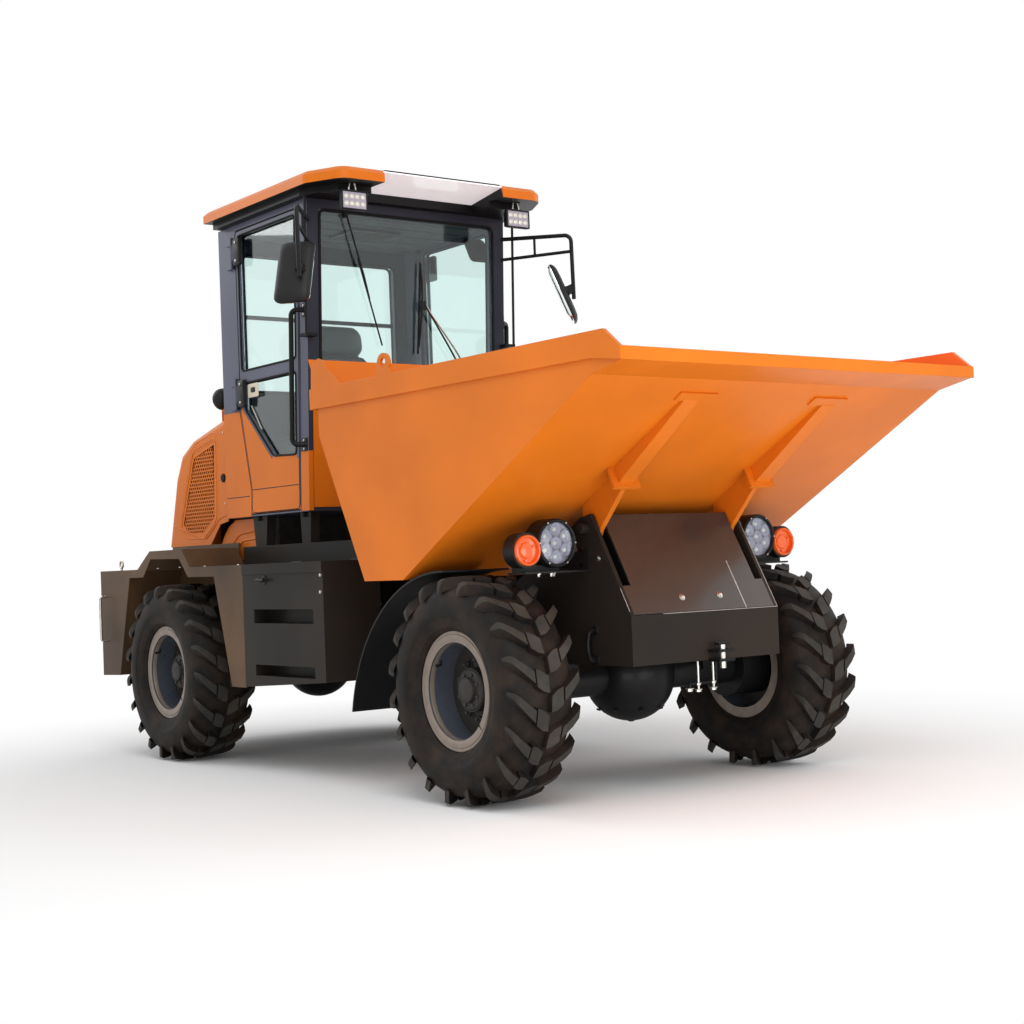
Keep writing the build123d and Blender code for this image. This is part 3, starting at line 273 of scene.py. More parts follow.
# maker, colour setting or hex, and what differs from the maker's own values
FINISHES = {
    "body_enamel": (enamel, "body", {}),
    "grille_enamel": (enamel, "body", {"edge_mm": 0.0}),
    "tub_enamel": (enamel, "tub", {"roughness": 0.42, "dust": 0.03}),
    "frame_enamel": (enamel, "frame", {"coat": 0.02, "soil": 0.06, "gloss": 0.07}),
    "cover_enamel": (enamel, "#34312F", {"roughness": 0.24, "coat": 0.3, "soil": 0.06, "gloss": 0.45}),
    "panel_enamel": (enamel, "#3B2E23", {"soil": 0.5, "coat": 0.03, "gloss": 0.1}),
    "cab_enamel": (enamel, "cab", {}),
    # darker slate for the cab frame's forward faces: painted shade, not a paint of its own
    "post_enamel": (enamel, "#30333F", {}),
    "black_enamel": (enamel, "#151516", {"roughness": 0.42, "dust": 0.08}),
    "bare_edge": (metal, "#B9B5B0", {"roughness": 0.4, "metallic": 0.5}),
    "tyre_rubber": (rubber, "rubber", {}),
    "lug_rubber": (rubber, "dusty", {"dirt": "#524C45", "share": 0.6}),
    "seal_rubber": (rubber, "#151515", {"share": 0.08}),
    "pipe_steel": (metal, "#2A2B2D", {"roughness": 0.4, "metallic": 0.4, "share": 0.3}),
    "rim_silver": (metal, "rim", {"roughness": 0.38, "metallic": 0.35, "stain": "#6E5F50", "share": 0.45}),
    "rim_well": (metal, "barrel", {"roughness": 0.34, "metallic": 0.2}),
    "hub_cast": (metal, "#2B2724", {"roughness": 0.55, "metallic": 0.15, "strength": 0.5}),
    "cast_iron": (metal, "#3A3B3C", {"roughness": 0.6, "metallic": 0.3, "strength": 0.6}),
    "zinc_plate": (metal, "#C9C6BE", {"roughness": 0.3}),
    "bright_bar": (metal, "#DADADA", {"roughness": 0.12, "share": 0.05, "strength": 0.05}),
    "chrome_rod": (metal, "#E4E4E4", {"roughness": 0.07, "share": 0.04, "strength": 0.03}),
    "mirror_silver": (metal, "#EEF2F2", {"roughness": 0.02, "share": 0.02, "strength": 0.0}),
    "reflector": (metal, "#A4A2B4", {"roughness": 0.45, "metallic": 0.1, "share": 0.03, "strength": 0.1}),
    "black_abs": (moulded, "#141415", {"Specular IOR Level": 0.3}),
    "grey_abs": (moulded, "#3B4149", {"roughness": 0.55}),
    "seat_vinyl": (moulded, "#26292E", {"roughness": 0.46, "grain_mm": 3.2, "depth_mm": 0.4, "strength": 0.5}),
    "headliner": (moulded, "#4A5058", {"roughness": 0.8, "grain_mm": 4.0, "depth_mm": 0.6, "strength": 0.6}),
    "safety_glass": (clear, "glass", {}),
    "lamp_glass": (clear, "#F4F8FA", {"haze": 0.02}),
    # the skylight's panel emits light though it is no lamp: painted light, as if daylight shone through it
    "acrylic": (moulded, "#F4F6F7", {"roughness": 0.1, "strength": 0.05, "Emission Color": linear("#F6FAFF"),
                                     "Emission Strength": 0.4}),
    "amber_lens": (moulded, "amber", {"roughness": 0.16, "grain_mm": 7, "depth_mm": 0.5, "strength": 0.25,
                                      "Coat Weight": 0.4}),
    "red_lens": (moulded, "#A8160F", {"roughness": 0.15, "grain_mm": 6, "depth_mm": 0.5, "strength": 0.4,
                                      "Coat Weight": 0.8}),
    "lamp_face": (moulded, "#A6A3B4", {"roughness": 0.25, "Coat Weight": 0.4}),
    "led_chip": (moulded, "#D9D8CC", {"roughness": 0.3, "Emission Color": linear("#FFFDF0"),
                                      "Emission Strength": 0.08}),
    "label_cream": (moulded, "#D9CDBA", {}),
}


def finish(name):
    """The finish of that name, made when it is first asked for."""
    title = name + "_finish"
    maker, tone, changes = FINISHES[name]
    made = bpy.data.materials.get(title)
    return made or maker(title, linear(tone) if tone[0] == "#" else list(getattr(colours(), tone)), **changes)


# ---- mesh parts --------------------------------------------------------------------------
def prism(bm, corners, push, coat=0):
    """Closed solid: a flat outline pushed so many millimetres along x, y and z."""
    low = [bm.verts.new(c) for c in corners]
    high = [bm.verts.new(Vector(c) + by(*push)) for c in corners]
    n = len(low)
    faces = [bm.faces.new(low[::-1]), bm.faces.new(high)]
    faces += [bm.faces.new((low[i], low[(i + 1) % n], high[(i + 1) % n], high[i])) for i in range(n)]
    for face in faces:
        face.material_index = coat


def slab(bm, low, high, coat=0):
    """Straight block between two opposite corners."""
    (x0, y0, z0), (x1, y1, z1) = low, high
    prism(bm, [(x0, y0, z0), (x1, y0, z0), (x1, y1, z0), (x0, y1, z0)], (0, 0, (z1 - z0) / MM), coat)


def turned(bm, profile, origin, axis, steps=40, coat=0, unit=MM):
    """Turned solid: profile is (distance along the axis, radius) corners, in millimetres."""
    axis = Vector(axis).normalized()
    side = axis.orthogonal().normalized()
    up = axis.cross(side)
    rings = []
    for along, radius in profile:
        base = Vector(origin) + axis * along * unit
        if not radius:
            rings.append([bm.verts.new(base)])
            continue
        turn = [math.tau * i / steps for i in range(steps)]
        rings.append([bm.verts.new(base + (side * math.cos(t) + up * math.sin(t)) * radius * unit)
                      for t in turn])
    for a, b in zip(rings, rings[1:]):
        for i in range(steps):
            ring = [a[i % len(a)], a[(i + 1) % len(a)], b[(i + 1) % len(b)], b[i % len(b)]]
            ring = list(dict.fromkeys(ring))
            if len(ring) > 2:
                bm.faces.new(ring).material_index = coat


def rounded_path(points, bend, steps=6):
    """Corners of a polyline eased by arcs of about that radius in metres."""
    points = [Vector(p) for p in points]
    path = [points[0]]
    for a, b, c in zip(points, points[1:], points[2:]):
        reach = min(bend, (a - b).length * 0.49, (c - b).length * 0.49)
        p, q = b + (a - b).normalized() * reach, b + (c - b).normalized() * reach
        path += [p.lerp(b, t).lerp(b.lerp(q, t), t) for t in [i / steps for i in range(steps + 1)]]
    return path + [points[-1]]


def skin(bm, rings, coat, closed=False):
    """Faces between neighbouring rings of as many points, and caps on the ends of what isn't closed."""
    for a, b in list(zip(rings, rings[1:])) + ([(rings[-1], rings[0])] if closed else []):
        for k in range(len(a)):
            n = (k + 1) % len(a)
            bm.faces.new((a[k], a[n], b[n], b[k])).material_index = coat
    if not closed:
        bm.faces.new(rings[0][::-1]).material_index = coat
        bm.faces.new(rings[-1]).material_index = coat


def swept(bm, points, radius, sides=8, coat=0, bend=0, closed=False):
    """Round bar that follows points; radius and the arcs at its corners are in millimetres."""
    if bend and closed:
        points = rounded_path(points + points[:2], bend * MM)[1:-1]
    elif bend:
        points = rounded_path(points, bend * MM)
    points = [Vector(p) for p in points]
    n = len(points)
    normal = None
    rings = []
    for i, p in enumerate(points):
        before = points[i - 1] if (i or closed) else p
        after = points[(i + 1) % n] if (i < n - 1 or closed) else p
        along = (after - before).normalized()
        normal = along.orthogonal() if normal is None else normal - along * normal.dot(along)
        normal.normalize()
        other = along.cross(normal)
        rings.append([bm.verts.new(p + (normal * math.cos(t) + other * math.sin(t)) * radius * MM)
                      for t in [math.tau * k / sides for k in range(sides)]])
    skin(bm, rings, coat, closed)


def bolt(bm, place, axis, across, height, coat=0, washer=True):
    """Hexagon head with its chamfer, on a washer; sizes in millimetres."""
    r, h = across / math.sqrt(3), height
    if washer:
        turned(bm, [(0, 0), (0, r * 1.45), (h * 0.25, r * 1.4), (h * 0.25, 0)], place, axis, 20, coat)
    turned(bm, [(0, 0), (0, r), (h * 0.85, r), (h, r * 0.82), (h, 0)], place, axis, 6, coat)


def rounded(bm, sections, place, coat=0, steps=4):
    """Loft of rounded rectangles along local X; a section is x, half width, half height and corner in mm."""
    rings = []
    for x, wide, tall, corner in sections:
        ring = []
        for quarter, (across, upward) in enumerate(((1, 1), (-1, 1), (-1, -1), (1, -1))):
            for k in range(steps + 1):
                turn = math.radians(90) * (quarter + k / steps)
                ring.append(place @ by(x, across * (wide - corner) + corner * math.cos(turn),
                                       upward * (tall - corner) + corner * math.sin(turn)))
        rings.append([bm.verts.new(p) for p in ring])
    skin(bm, rings, coat)


def spin(degrees, axis="Z"):
    """Turn about one axis."""
    return Matrix.Rotation(math.radians(degrees), 4, axis)


def piece(name, bm, body, finishes, origin=None, crease=0.6, ease=0.0):
    """Turn built geometry into an object that rides on a body; ease rounds its edges by so many millimetres."""
    if ease:
        sharp = [e for e in bm.edges if len(e.link_faces) == 2 and e.calc_face_angle(0) > crease]
        bmesh.ops.bevel(bm, geom=sharp, offset=ease * MM, offset_type="OFFSET", segments=2, profile=0.7,
                        affect="EDGES", clamp_overlap=True)
    bmesh.ops.recalc_face_normals(bm, faces=bm.faces)
    for face in bm.faces:
        face.smooth = True
    for edge in bm.edges:
        edge.smooth = len(edge.link_faces) == 2 and edge.calc_face_angle(0) < crease
    mesh = bpy.data.meshes.new(name)
    bm.to_mesh(mesh)
    bm.free()
    item = bpy.data.objects.new(name, mesh)
    bpy.context.scene.collection.objects.link(item)
    for text in finishes:
        mesh.materials.append(finish(text))
    if origin is not None:
        mesh.transform(Matrix.Translation(-Vector(origin)))
        item.location = origin
    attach(item, body)
    return item


def dress(node, *finishes, pick=None):
    """Give a CAD node its finishes; pick chooses one by number from a face's middle and normal."""
    data = frame["nodes"][node].data
    data.materials.clear()
    for text in finishes:
        data.materials.append(finish(text))
    for face in data.polygons:
        face.material_index = pick(face.center, face.normal) if pick else 0


# ---- the frame's own finishes ------------------------------------------------------------
PLAIN = {
    "body_enamel": "skip_rim skip_arms engine_hood cab_panels",
    "frame_enamel": "front_chassis cab_platform step_boxes box_lid_left box_lid_right",
    "cover_enamel": "nose_cover",
    "panel_enamel": "rear_bodywork",
    "black_enamel": "front_axle rear_axle rear_chassis front_mudguards radiator tip_ram_barrel mirror_arms "
                    "steer_ram_barrel_left steer_ram_barrel_right grab_rails seat_base",
    "cast_iron": "engine_block",
    "black_abs": "headlamp_housings",
    "grey_abs": "consoles",
    "zinc_plate": "rear_fittings",
    "chrome_rod": "tip_ram_rod steer_ram_rod_left steer_ram_rod_right",
    "safety_glass": "cab_glass door_left_glass door_right_glass",
    "acrylic": "roof_skylight",
}
FLANGE_FOOT_R, DISC_R, TOW_PIN_R = 206.5, 150, 14.5


class DUMPER_OT_paint(bpy.types.Operator):
    """Finish every part of the frame that keeps its own shape"""

    bl_idname = "dumper.paint"
    bl_label = "Paint the Frame"

    def execute(self, context):
        for text, nodes in PLAIN.items():
            for node in nodes.split():
                dress(node, text)
        low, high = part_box("skip_tub")
        sheet, back = 4 * MM, 300 * MM
        dress("skip_tub", "body_enamel", "tub_enamel",
              pick=lambda c, n: int(abs(c.y) < high.y - sheet and (n.z > 0.02 or abs(n.y) > 0.9)
                                    or (c.x < low.x + back and n.x > 0.5)))
        for node in [n for n in frame["nodes"] if n.startswith("rim_")]:
            mid = centre(node)

            def ring(c, n, mid=mid):
                """Silver flange, blue grey well, dark disc."""
                radius = math.hypot(c.x - mid.x, c.z - mid.z) / MM
                return 0 if radius > FLANGE_FOOT_R else 1 if radius > DISC_R and abs(n.y) < 0.9 else 2
            dress(node, "rim_silver", "rim_well", "hub_cast", pick=ring)
        band_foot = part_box("cab_roof")[0].z
        liner, ceiling = band_foot + 33 * MM, band_foot - 60 * MM
        cut_low, cut_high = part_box("roof_skylight")
        gap = 2 * MM

        def roof_coat(c, n):
            """Orange on the band outside, dark on the liner, the underside and inside the skylight's cut."""
            cut = cut_low.x - gap <= c.x <= cut_high.x + gap and abs(c.y) <= cut_high.y + gap and abs(n.z) < 0.9
            return int(cut or c.z < liner or n.z < -0.5)
        dress("cab_roof", "body_enamel", "black_enamel", pick=roof_coat)
        # every face of the cab frame that looks forward gets the darker slate, which is painted shade
        dress("cab_frame", "cab_enamel", "headliner", "post_enamel",
              pick=lambda c, n: 2 if n.x > 0.7 else int(n.z < -0.9 and c.z > ceiling))
        pin = at(567, 40, 0)
        dress("tow_hitch", "black_enamel", "zinc_plate",
              pick=lambda c, n: int(math.hypot(c.x - pin.x, c.y - pin.y) < TOW_PIN_R * MM))
        waist = at(-2075, 0, 1600)
        for node in ("door_left_frame", "door_right_frame"):
            dress(node, "cab_enamel", "body_enamel", pick=lambda c, n: int(c.z < waist.z))
        return {"FINISHED"}


# ---- wheels ------------------------------------------------------------------------------
def tyre(node):
    """One tyre: carcass of revolution, then bars and centre blocks that lead towards the middle."""
    low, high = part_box(node)
    hub = (low + high) / 2
    half, tip = (high.y - low.y) / 2, (high.z - low.z) / 2
    tread = tip - sizes().lug_height
    bm = bmesh.new()
    wall = [(0.0, 0), (0.4, 3), (0.66, 9), (0.82, 21), (0.92, 40), (0.97, 66), (0.995, 95), (0.998, 118),
            (0.985, 136), (0.97, 139), (0.955, 153), (0.925, 170), (0.88, 183), (0.862, 184), (0.82, 192),
            (0.765, 197)]
    wall = [(y, tread - drop * MM) for y, drop in wall] + [(0.735, 0.262), (0.727, 0.233)]
    outline = [(-y * half, r) for y, r in reversed(wall)] + [(y * half, r) for y, r in wall[1:]]
    turned(bm, outline, hub, Y, 128, unit=1)
    pitch = math.tau / sizes().lugs
    for side in (1, -1):
        for i in range(sizes().lugs):
            lug(bm, hub, half, tip, tread, pitch * (i + (0.5 if side < 0 else 0.0)), side)
    item = piece(node + "_tread", bm, "wheel_" + node.removeprefix("tyre_"), ["tyre_rubber", "lug_rubber"],
                 origin=hub)
    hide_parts(node)


def lug(bm, hub, half, tip, tread, turn, side):
    """Long curved shoulder bar and wide centre block; rows are share of the width, lead, half width, drop."""
    def place(across, lead, radius):
        angle = turn + lead * MM / tip
        return hub + Vector((math.sin(angle) * radius, side * across, math.cos(angle) * radius))

    crown, root, shoulder_root, flare = 7 * MM, 12 * MM, 90 * MM, 5
    bar = [(0.998, -130, 5, 62), (0.992, -124, 12, 36), (0.965, -115, 16, 13), (0.9, -101, 19, 3),
           (0.72, -72, 22, 0), (0.54, -46, 24, 0), (0.42, -31, 25, 0)]
    block = [(0.375, -27, 36, 0), (0.2, -11, 41, 0), (0.03, 4, 33, 0)]
    for rows in (bar, block):
        rings = []
        for share, lead, wide, drop in rows:
            top = tip - crown * share ** 3 - drop * MM
            foot = min(top - MM, tread - root - shoulder_root * max(0.0, share - 0.7))
            rings.append([bm.verts.new(place(share * half, lead + w, r)) for w, r in (
                (-wide - flare, foot), (-wide, top), (wide, top), (wide + flare, foot))])
        for a, b in zip(rings, rings[1:]):
            for k in range(3):
                bm.faces.new((a[k], a[k + 1], b[k + 1], b[k])).material_index = int(k == 1)
        bm.faces.new(rings[0][::-1])
        bm.faces.new(rings[-1])


class DUMPER_OT_tyres(bpy.types.Operator):
    """Make the four lugged tyres"""

    bl_idname = "dumper.tyres"
    bl_label = "Tyres"

    def execute(self, context):
        for node in [n for n in frame["nodes"] if n.startswith("tyre_")]:
            tyre(node)
        return {"FINISHED"}


def wheel_hub(node, mid, out, body):
    """Studs and nuts on the disc, and the cap of the planetary hub with its small bolts."""
    bm = bmesh.new()
    for x, z in around(sizes().wheel_nuts, 126):
        bolt(bm, mid + by(x, 0, z), out, 26, 20)
        turned(bm, [(0, 0), (0, 7), (31, 7), (33, 5), (33, 0)], mid + by(x, 0, z), out, 10, 1)
    cap = mid + out * 54 * MM
    turned(bm, [(-50, 93), (-4, 93), (0, 89), (5, 86), (9, 80), (9, 56), (26, 51), (31, 43), (32, 0)], cap, out,
           48)
    for x, z in around(8, 68, 0.5):
        bolt(bm, cap + out * 9 * MM + by(x, 0, z), out, 14, 8, 1, washer=False)
    piece(node + "_hub", bm, body, ["hub_cast", "cast_iron"], origin=mid)


def flange(node, mid, out, edge, face, body):
    """Pressed flange, the split lock ring inside it and the valve."""
    bm = bmesh.new()
    lip = mid + out * face
    for ring in ([(-3, 0.5), (2, 1), (3, 4), (2.4, 9), (0.4, 13), (-1, 13)],
                 [(0.2, 13.5), (2.6, 15), (3, 30), (1.6, 38), (-2, 44), (-9, 47.5), (-30, 48.5)]):
        turned(bm, [(x, edge / MM - drop) for x, drop in ring], lip, out, 96)
    split = by(170, 0, -145)
    swept(bm, [lip + split + split.normalized() * run * MM + out * 2.4 * MM for run in (-22, 8)], 2.2, 6, 1)
    stem = lip + by(-148, 0, 121) - out * 30 * MM
    tip = stem + by(22, 0, -18)
    swept(bm, [stem, stem + by(18, 0, -15) + out * 12 * MM, tip + out * 34 * MM], 5, 10, 1)
    swept(bm, [tip + out * 30 * MM, tip + out * 42 * MM], 6.5, 10, 1)
    piece(node + "_flange", bm, body, ["rim_silver", "seal_rubber"], origin=mid)


class DUMPER_OT_wheels(bpy.types.Operator):
    """Add the nuts, hub caps, flange rings and valves to the wheels"""

    bl_idname = "dumper.wheels"
    bl_label = "Wheel Fittings"

    def execute(self, context):
        for node in [n for n in frame["nodes"] if n.startswith("rim_")]:
            high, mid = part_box(node)[1], centre(node)
            out = Y if mid.y > 0 else -Y
            body = "wheel_" + node.removeprefix("rim_")
            wheel_hub(node, mid, out, body)
            flange(node, mid, out, high.z - mid.z, high.y - mid.y, body)
        return {"FINISHED"}


# ---- lamps and mirrors -------------------------------------------------------------------
def headlamps():
    """Round lamp with seven bowls behind a domed cover, in a bezel with screws, and its conduit."""
    bm = bmesh.new()
    for side, on in both():
        lamp = on(260, 594, 1082)
        turned(bm, [(-22, 0), (-22, 84), (-12, 87)], lamp, X, 64, 1)
        for y, z in [(0, 0)] + around(6, 57):
            spot = lamp + by(0, y, z)
            turned(bm, [(-21, 7), (-17, 17), (-9, 25), (-8, 27.5), (-21, 27.5)], spot, X, 28, 1)
            turned(bm, [(-21, 0), (-21, 9), (-15, 7), (-13, 0)], spot, X, 16, 2)
        turned(bm, [(-7, 0), (-7, 87), (-3, 87.5), (1, 70), (4, 40), (5, 0)], lamp, X, 64)
        turned(bm, [(-8, 87.5), (4, 88), (8, 91), (9, 96), (6, 101), (0, 103.5), (-34, 103.5), (-34, 102)],
               lamp, X, 64, 3)
        for y, z in around(6, 96, 0.5):
            bolt(bm, lamp + by(8, y, z), X, 7, 2.5, 4, washer=False)
        for x, y in ((190, 560), (190, 640), (225, 600)):
            bolt(bm, on(x, y, 957), -Z, 14, 16, 4)
        bolt(bm, on(214, 478, 1058), (0.7, side * 0.2, 0.6), 30, 12, 4)
        conduit = ((170, 594, 1082), (140, 590, 1070), (150, 520, 1010), (120, 436, 960))
        swept(bm, [on(*p) for p in conduit], 6, 8, 3, 40)
    item = piece("headlamp_units", bm, "front_frame",
                 ["lamp_glass", "reflector", "led_chip", "black_abs", "zinc_plate"], crease=0.5)
    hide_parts("headlamp_lenses")


def indicators():
    """Amber lamp with a raised wall, stepped rings inside it and three ribs."""
    bm = bmesh.new()
    for side, on in both():
        lamp = on(260, 752, 1055)
        turned(bm, [(-20, 0), (-20, 65), (8, 65), (14, 62), (15, 58), (12, 55), (-6, 52), (-8, 34), (-2, 30),
                    (0, 24), (1, 0)], lamp, X, 56)
        for turn in (0.4, 2.5, 4.6):
            rib = lamp + by(-4, 42 * math.cos(turn), 42 * math.sin(turn))
            turned(bm, [(-3, 6), (5, 5), (6, 0)], rib, X, 12)
    item = piece("indicator_domes", bm, "front_frame", ["amber_lens"], crease=0.5)
    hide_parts("indicator_lenses")


def work_lamps():
    """Finned flat lamps with eight diodes, hung from the brim on a bent strap."""
    low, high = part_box("work_lamps")
    bm = bmesh.new()
    for side in (1, -1):
        lamp = Vector((high.x, side * (high.y - 78 * MM), low.z + 50 * MM))
        middle = Matrix.Translation(lamp)
        rounded(bm, [(-44, 62, 40, 6), (-26, 74, 48, 8), (-4, 77, 49.5, 8), (-1, 75, 48, 7), (-1, 69, 42, 4),
                     (-4, 68, 41, 3)], middle)
        rounded(bm, [(-4, 68, 41, 3), (-3, 67, 40, 3)], middle, 1)
        for y in range(-56, 57, 14):
            slab(bm, lamp + by(-56, y - 2, -38), lamp + by(-40, y + 2, 38))
        for z in (-18, 18):
            for y in range(-48, 49, 32):
                turned(bm, [(0, 15), (1.5, 14), (0.4, 9)], lamp + by(-3, y, z), X, 20, 3)
                turned(bm, [(0, 9), (1.5, 7), (2.5, 0)], lamp + by(-3, y, z), X, 16, 2)
        top = (high.z - lamp.z) / MM
        for y in (-20, 20):
            strap = ((-24, y, 44), (-24, y, 72), (-24, y * 0.6, top + 2))
            swept(bm, [lamp + by(*p) for p in strap], 4, 8, 3, 10)
        slab(bm, lamp + by(-34, -30, 51), lamp + by(-14, 30, 55))
        slab(bm, lamp + by(-34, -26, top - 3), lamp + by(-14, 26, top + 2))
    item = piece("work_lamp_units", bm, "rear_frame", ["black_abs", "lamp_face", "led_chip", "zinc_plate"])
    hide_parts("work_lamps")


def hood_lamps():
    """Round lamps that look back over the hood, each on a folded strap."""
    bm = bmesh.new()
    for side, on in both():
        spot = on(-2805, 545, 1998)
        turned(bm, [(3, 55), (0, 58), (2, 62), (14, 62), (26, 60), (46, 46), (57, 26), (60, 0)], spot, X, 48)
        turned(bm, [(3, 55), (1.5, 30), (1, 0)], spot, X, 48, 1)
        for z in range(-44, 45, 11):
            reach = math.sqrt(56 ** 2 - z ** 2)
            swept(bm, [spot + by(-1, -reach, z), spot + by(-1, reach, z)], 1.5, 6)
        gusset = [(-2786, 1790), (-2650, 1790), (-2650, 1868), (-2748, 2006), (-2786, 2006)]
        prism(bm, [on(x, 548, z) for x, z in gusset], (0, side * 4, 0), 2)
        slab(bm, spot + by(20, -15, -196), spot + by(26, 15, -58), 2)
        slab(bm, spot + by(26, -15, -70), spot + by(50, 15, -64), 2)
        bolt(bm, spot + by(34, 0, -70), -Z, 13, 10, 3)
    item = piece("rear_lamp_units", bm, "engine_hood", ["black_abs", "lamp_glass", "body_enamel", "zinc_plate"])
    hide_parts("rear_work_lamps")


def tail_lamps():
    """Two-colour lenses in a black frame on the tail plate, amber outside and red inside."""
    low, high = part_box("tail_lamps")
    bm = bmesh.new()
    for side in (1, -1):
        x, y0, y1 = high.x, *sorted((side * (high.y - 2 * MM), side * (high.y - 158 * MM)))
        split = y0 + (y1 - y0) * (0.35 if side < 0 else 0.65)
        slab(bm, (x - 6 * MM, y0 - 2 * MM, low.z), (x, y1 + 2 * MM, high.z))
        for a, b, coat in ((y0 + 4 * MM, split - 1.5 * MM, 2 if side < 0 else 1),
                           (split + 1.5 * MM, y1 - 4 * MM, 1 if side < 0 else 2)):
            slab(bm, (x - 12 * MM, a, low.z + 6 * MM), (x - 5 * MM, b, high.z - 6 * MM), coat)
    item = piece("tail_lamp_units", bm, "rear_frame", ["black_abs", "red_lens", "amber_lens"],
                 ease=2)
    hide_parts("tail_lamps")


class DUMPER_OT_lamps(bpy.types.Operator):
    """Make the headlamps, indicators, work lamps and rear lamps"""

    bl_idname = "dumper.lamps"
    bl_label = "Lamps"

    def execute(self, context):
        for make in (headlamps, indicators, work_lamps, hood_lamps, tail_lamps):
            make()
        return {"FINISHED"}


class DUMPER_OT_mirrors(bpy.types.Operator):
    """Make the two mirror heads"""

    bl_idname = "dumper.mirrors"
    bl_label = "Mirrors"

    def execute(self, context):
        bm = bmesh.new()
        for side, on in both():
            place = (Matrix.Translation(on(-1340, 862, 2500)) @ spin(side * 50) @ spin(-22, "Y")
                     @ Matrix.Translation(by(-63.3, side * 42, 0)))
            rounded(bm, [(-4, 89, 167, 34), (-4, 92, 170, 34), (2, 93, 171, 36), (10, 90, 168, 40),
                         (20, 80, 158, 44), (27, 64, 140, 46), (29, 44, 118, 40)], place)
            rounded(bm, [(-29, 30, 90, 24), (-28, 58, 130, 36), (-24, 78, 154, 38), (-16, 89, 167, 36),
                         (-8, 92, 170, 35), (-3, 91, 169, 34)], place, 1)
            turned(bm, [(0, 30), (8, 28), (9, 0)], place @ by(25, -side * 42, 0), place.to_3x3() @ X, 28)
        item = piece("mirror_shells", bm, "rear_frame", ["black_abs", "mirror_silver"])
        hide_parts("mirror_heads")
        return {"FINISHED"}


# ---- engine hood -------------------------------------------------------------------------
GRILLE = [(-2807, 1763), (-3084, 1708), (-3262, 1289), (-3192, 1230), (-2978, 1223), (-2820, 1317)]


def perforated(bm, outline, y, side):
    """Perforated sheet: a ring of metal round each hexagonal hole, and a plain margin."""
    hole = sizes().hole / math.sqrt(3)
    cell = hole * 1.42
    pitch = cell * math.sqrt(3)
    thick, proud, margin = 3, 0.6 * MM, 26 * MM
    runs = list(zip(outline, outline[1:] + outline[:1]))
    xs, zs = zip(*outline)
    mid = Vector((sum(xs), sum(zs))) / len(outline)

    def depth(x, z):
        """Distance inside the outline, or less than 0."""
        gaps = [((bx - ax) * (z - az) - (bz - az) * (x - ax)) / math.hypot(bx - ax, bz - az)
                for (ax, az), (bx, bz) in runs]
        inside = all(g > 0 for g in gaps) or not any(g > 0 for g in gaps)
        return min(abs(g) for g in gaps) if inside else -1.0

    rows, columns = int((max(zs) - min(zs)) / cell), int((max(xs) - min(xs)) / pitch)
    for row in range(-rows, rows):
        for column in range(-columns, columns):
            x, z = mid.x + pitch * (column + 0.5 * (row % 2)), mid.y + cell * 1.5 * row
            if depth(x, z) < cell * 1.6:
                continue
            rings = [[bm.verts.new((x + r * cx, y - push, z + r * cz)) for cx, cz in around(6, 1)]
                     for r, push in ((cell, 0.0), (hole, 0.0), (hole, side * thick * MM))]
            for a, b in zip(rings, rings[1:]):
                for k in range(6):
                    bm.faces.new((a[k], a[(k + 1) % 6], b[(k + 1) % 6], b[k]))
    near = [Vector((x, y + side * proud, z)) for x, z in outline]
    heart = Vector((mid.x, y + side * proud, mid.y))
    far = [heart + (p - heart) * (1 - margin / (p - heart).length) for p in near]
    for k in range(len(near)):
        n = (k + 1) % len(near)
        prism(bm, [near[k], near[n], far[n], far[k]], (0, -side * thick, 0))


class DUMPER_OT_hood(bpy.types.Operator):
    """Punch the hood's side grilles and add its caps, seams and latch"""

    bl_idname = "dumper.hood"
    bl_label = "Hood Grilles and Trim"

    def execute(self, context):
        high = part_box("hood_grilles")[1]
        bm = bmesh.new()
        for side in (1, -1):
            perforated(bm, [(FRONT_AXLE_X + x * MM, z * MM) for x, z in GRILLE], side * (high.y - MM), side)
        item = piece("grille_sheets", bm, "engine_hood", ["grille_enamel"])
        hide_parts("hood_grilles")

        bm = bmesh.new()
        for side, on in both():
            edge = [on(x, 599, z) for x, z in GRILLE]
            middle = sum(edge, Vector()) / len(edge)
            swept(bm, [middle.lerp(p, 1.05) for p in edge], 4, bend=45, closed=True)
            swept(bm, [middle.lerp(p, 1.17) - by(0, side, 0) for p in edge], 3, bend=70, closed=True)
            turned(bm, [(0, 25), (4, 25), (9, 20), (10, 0)], on(-2713, 599, 1545), Y * side, 32, 1)
            step = [(-3350, 1298), (-2960, 1205), (-2880, 1250), (-2778, 1322), (-2680, 1336)]
            swept(bm, [on(x, 600, z) for x, z in step], 3.5, bend=60)
            for z in (1800, 1400):
                bolt(bm, on(-2700, 600, z), Y * side, 11, 4, 2, washer=False)
        latch = ((-3452, -90), (-3466, -90), (-3466, 90), (-3452, 90))
        swept(bm, [at(x, y, 1300) for x, y in latch], 7, 10, 3, 10)
        piece("hood_trim", bm, "engine_hood", ["body_enamel", "seal_rubber", "zinc_plate", "black_abs"])
        return {"FINISHED"}


# ---- cab ---------------------------------------------------------------------------------
SCREEN_FOOT_X, SCREEN_FOOT_Z, SCREEN_LEAN = -1722, 1312, 80 / 1603


def front(z, out=0.0):
    """X in millimetres of the cab's leaning front plane at a height, or that far in front of it."""
    return SCREEN_FOOT_X + SCREEN_LEAN * (z - SCREEN_FOOT_Z) + out


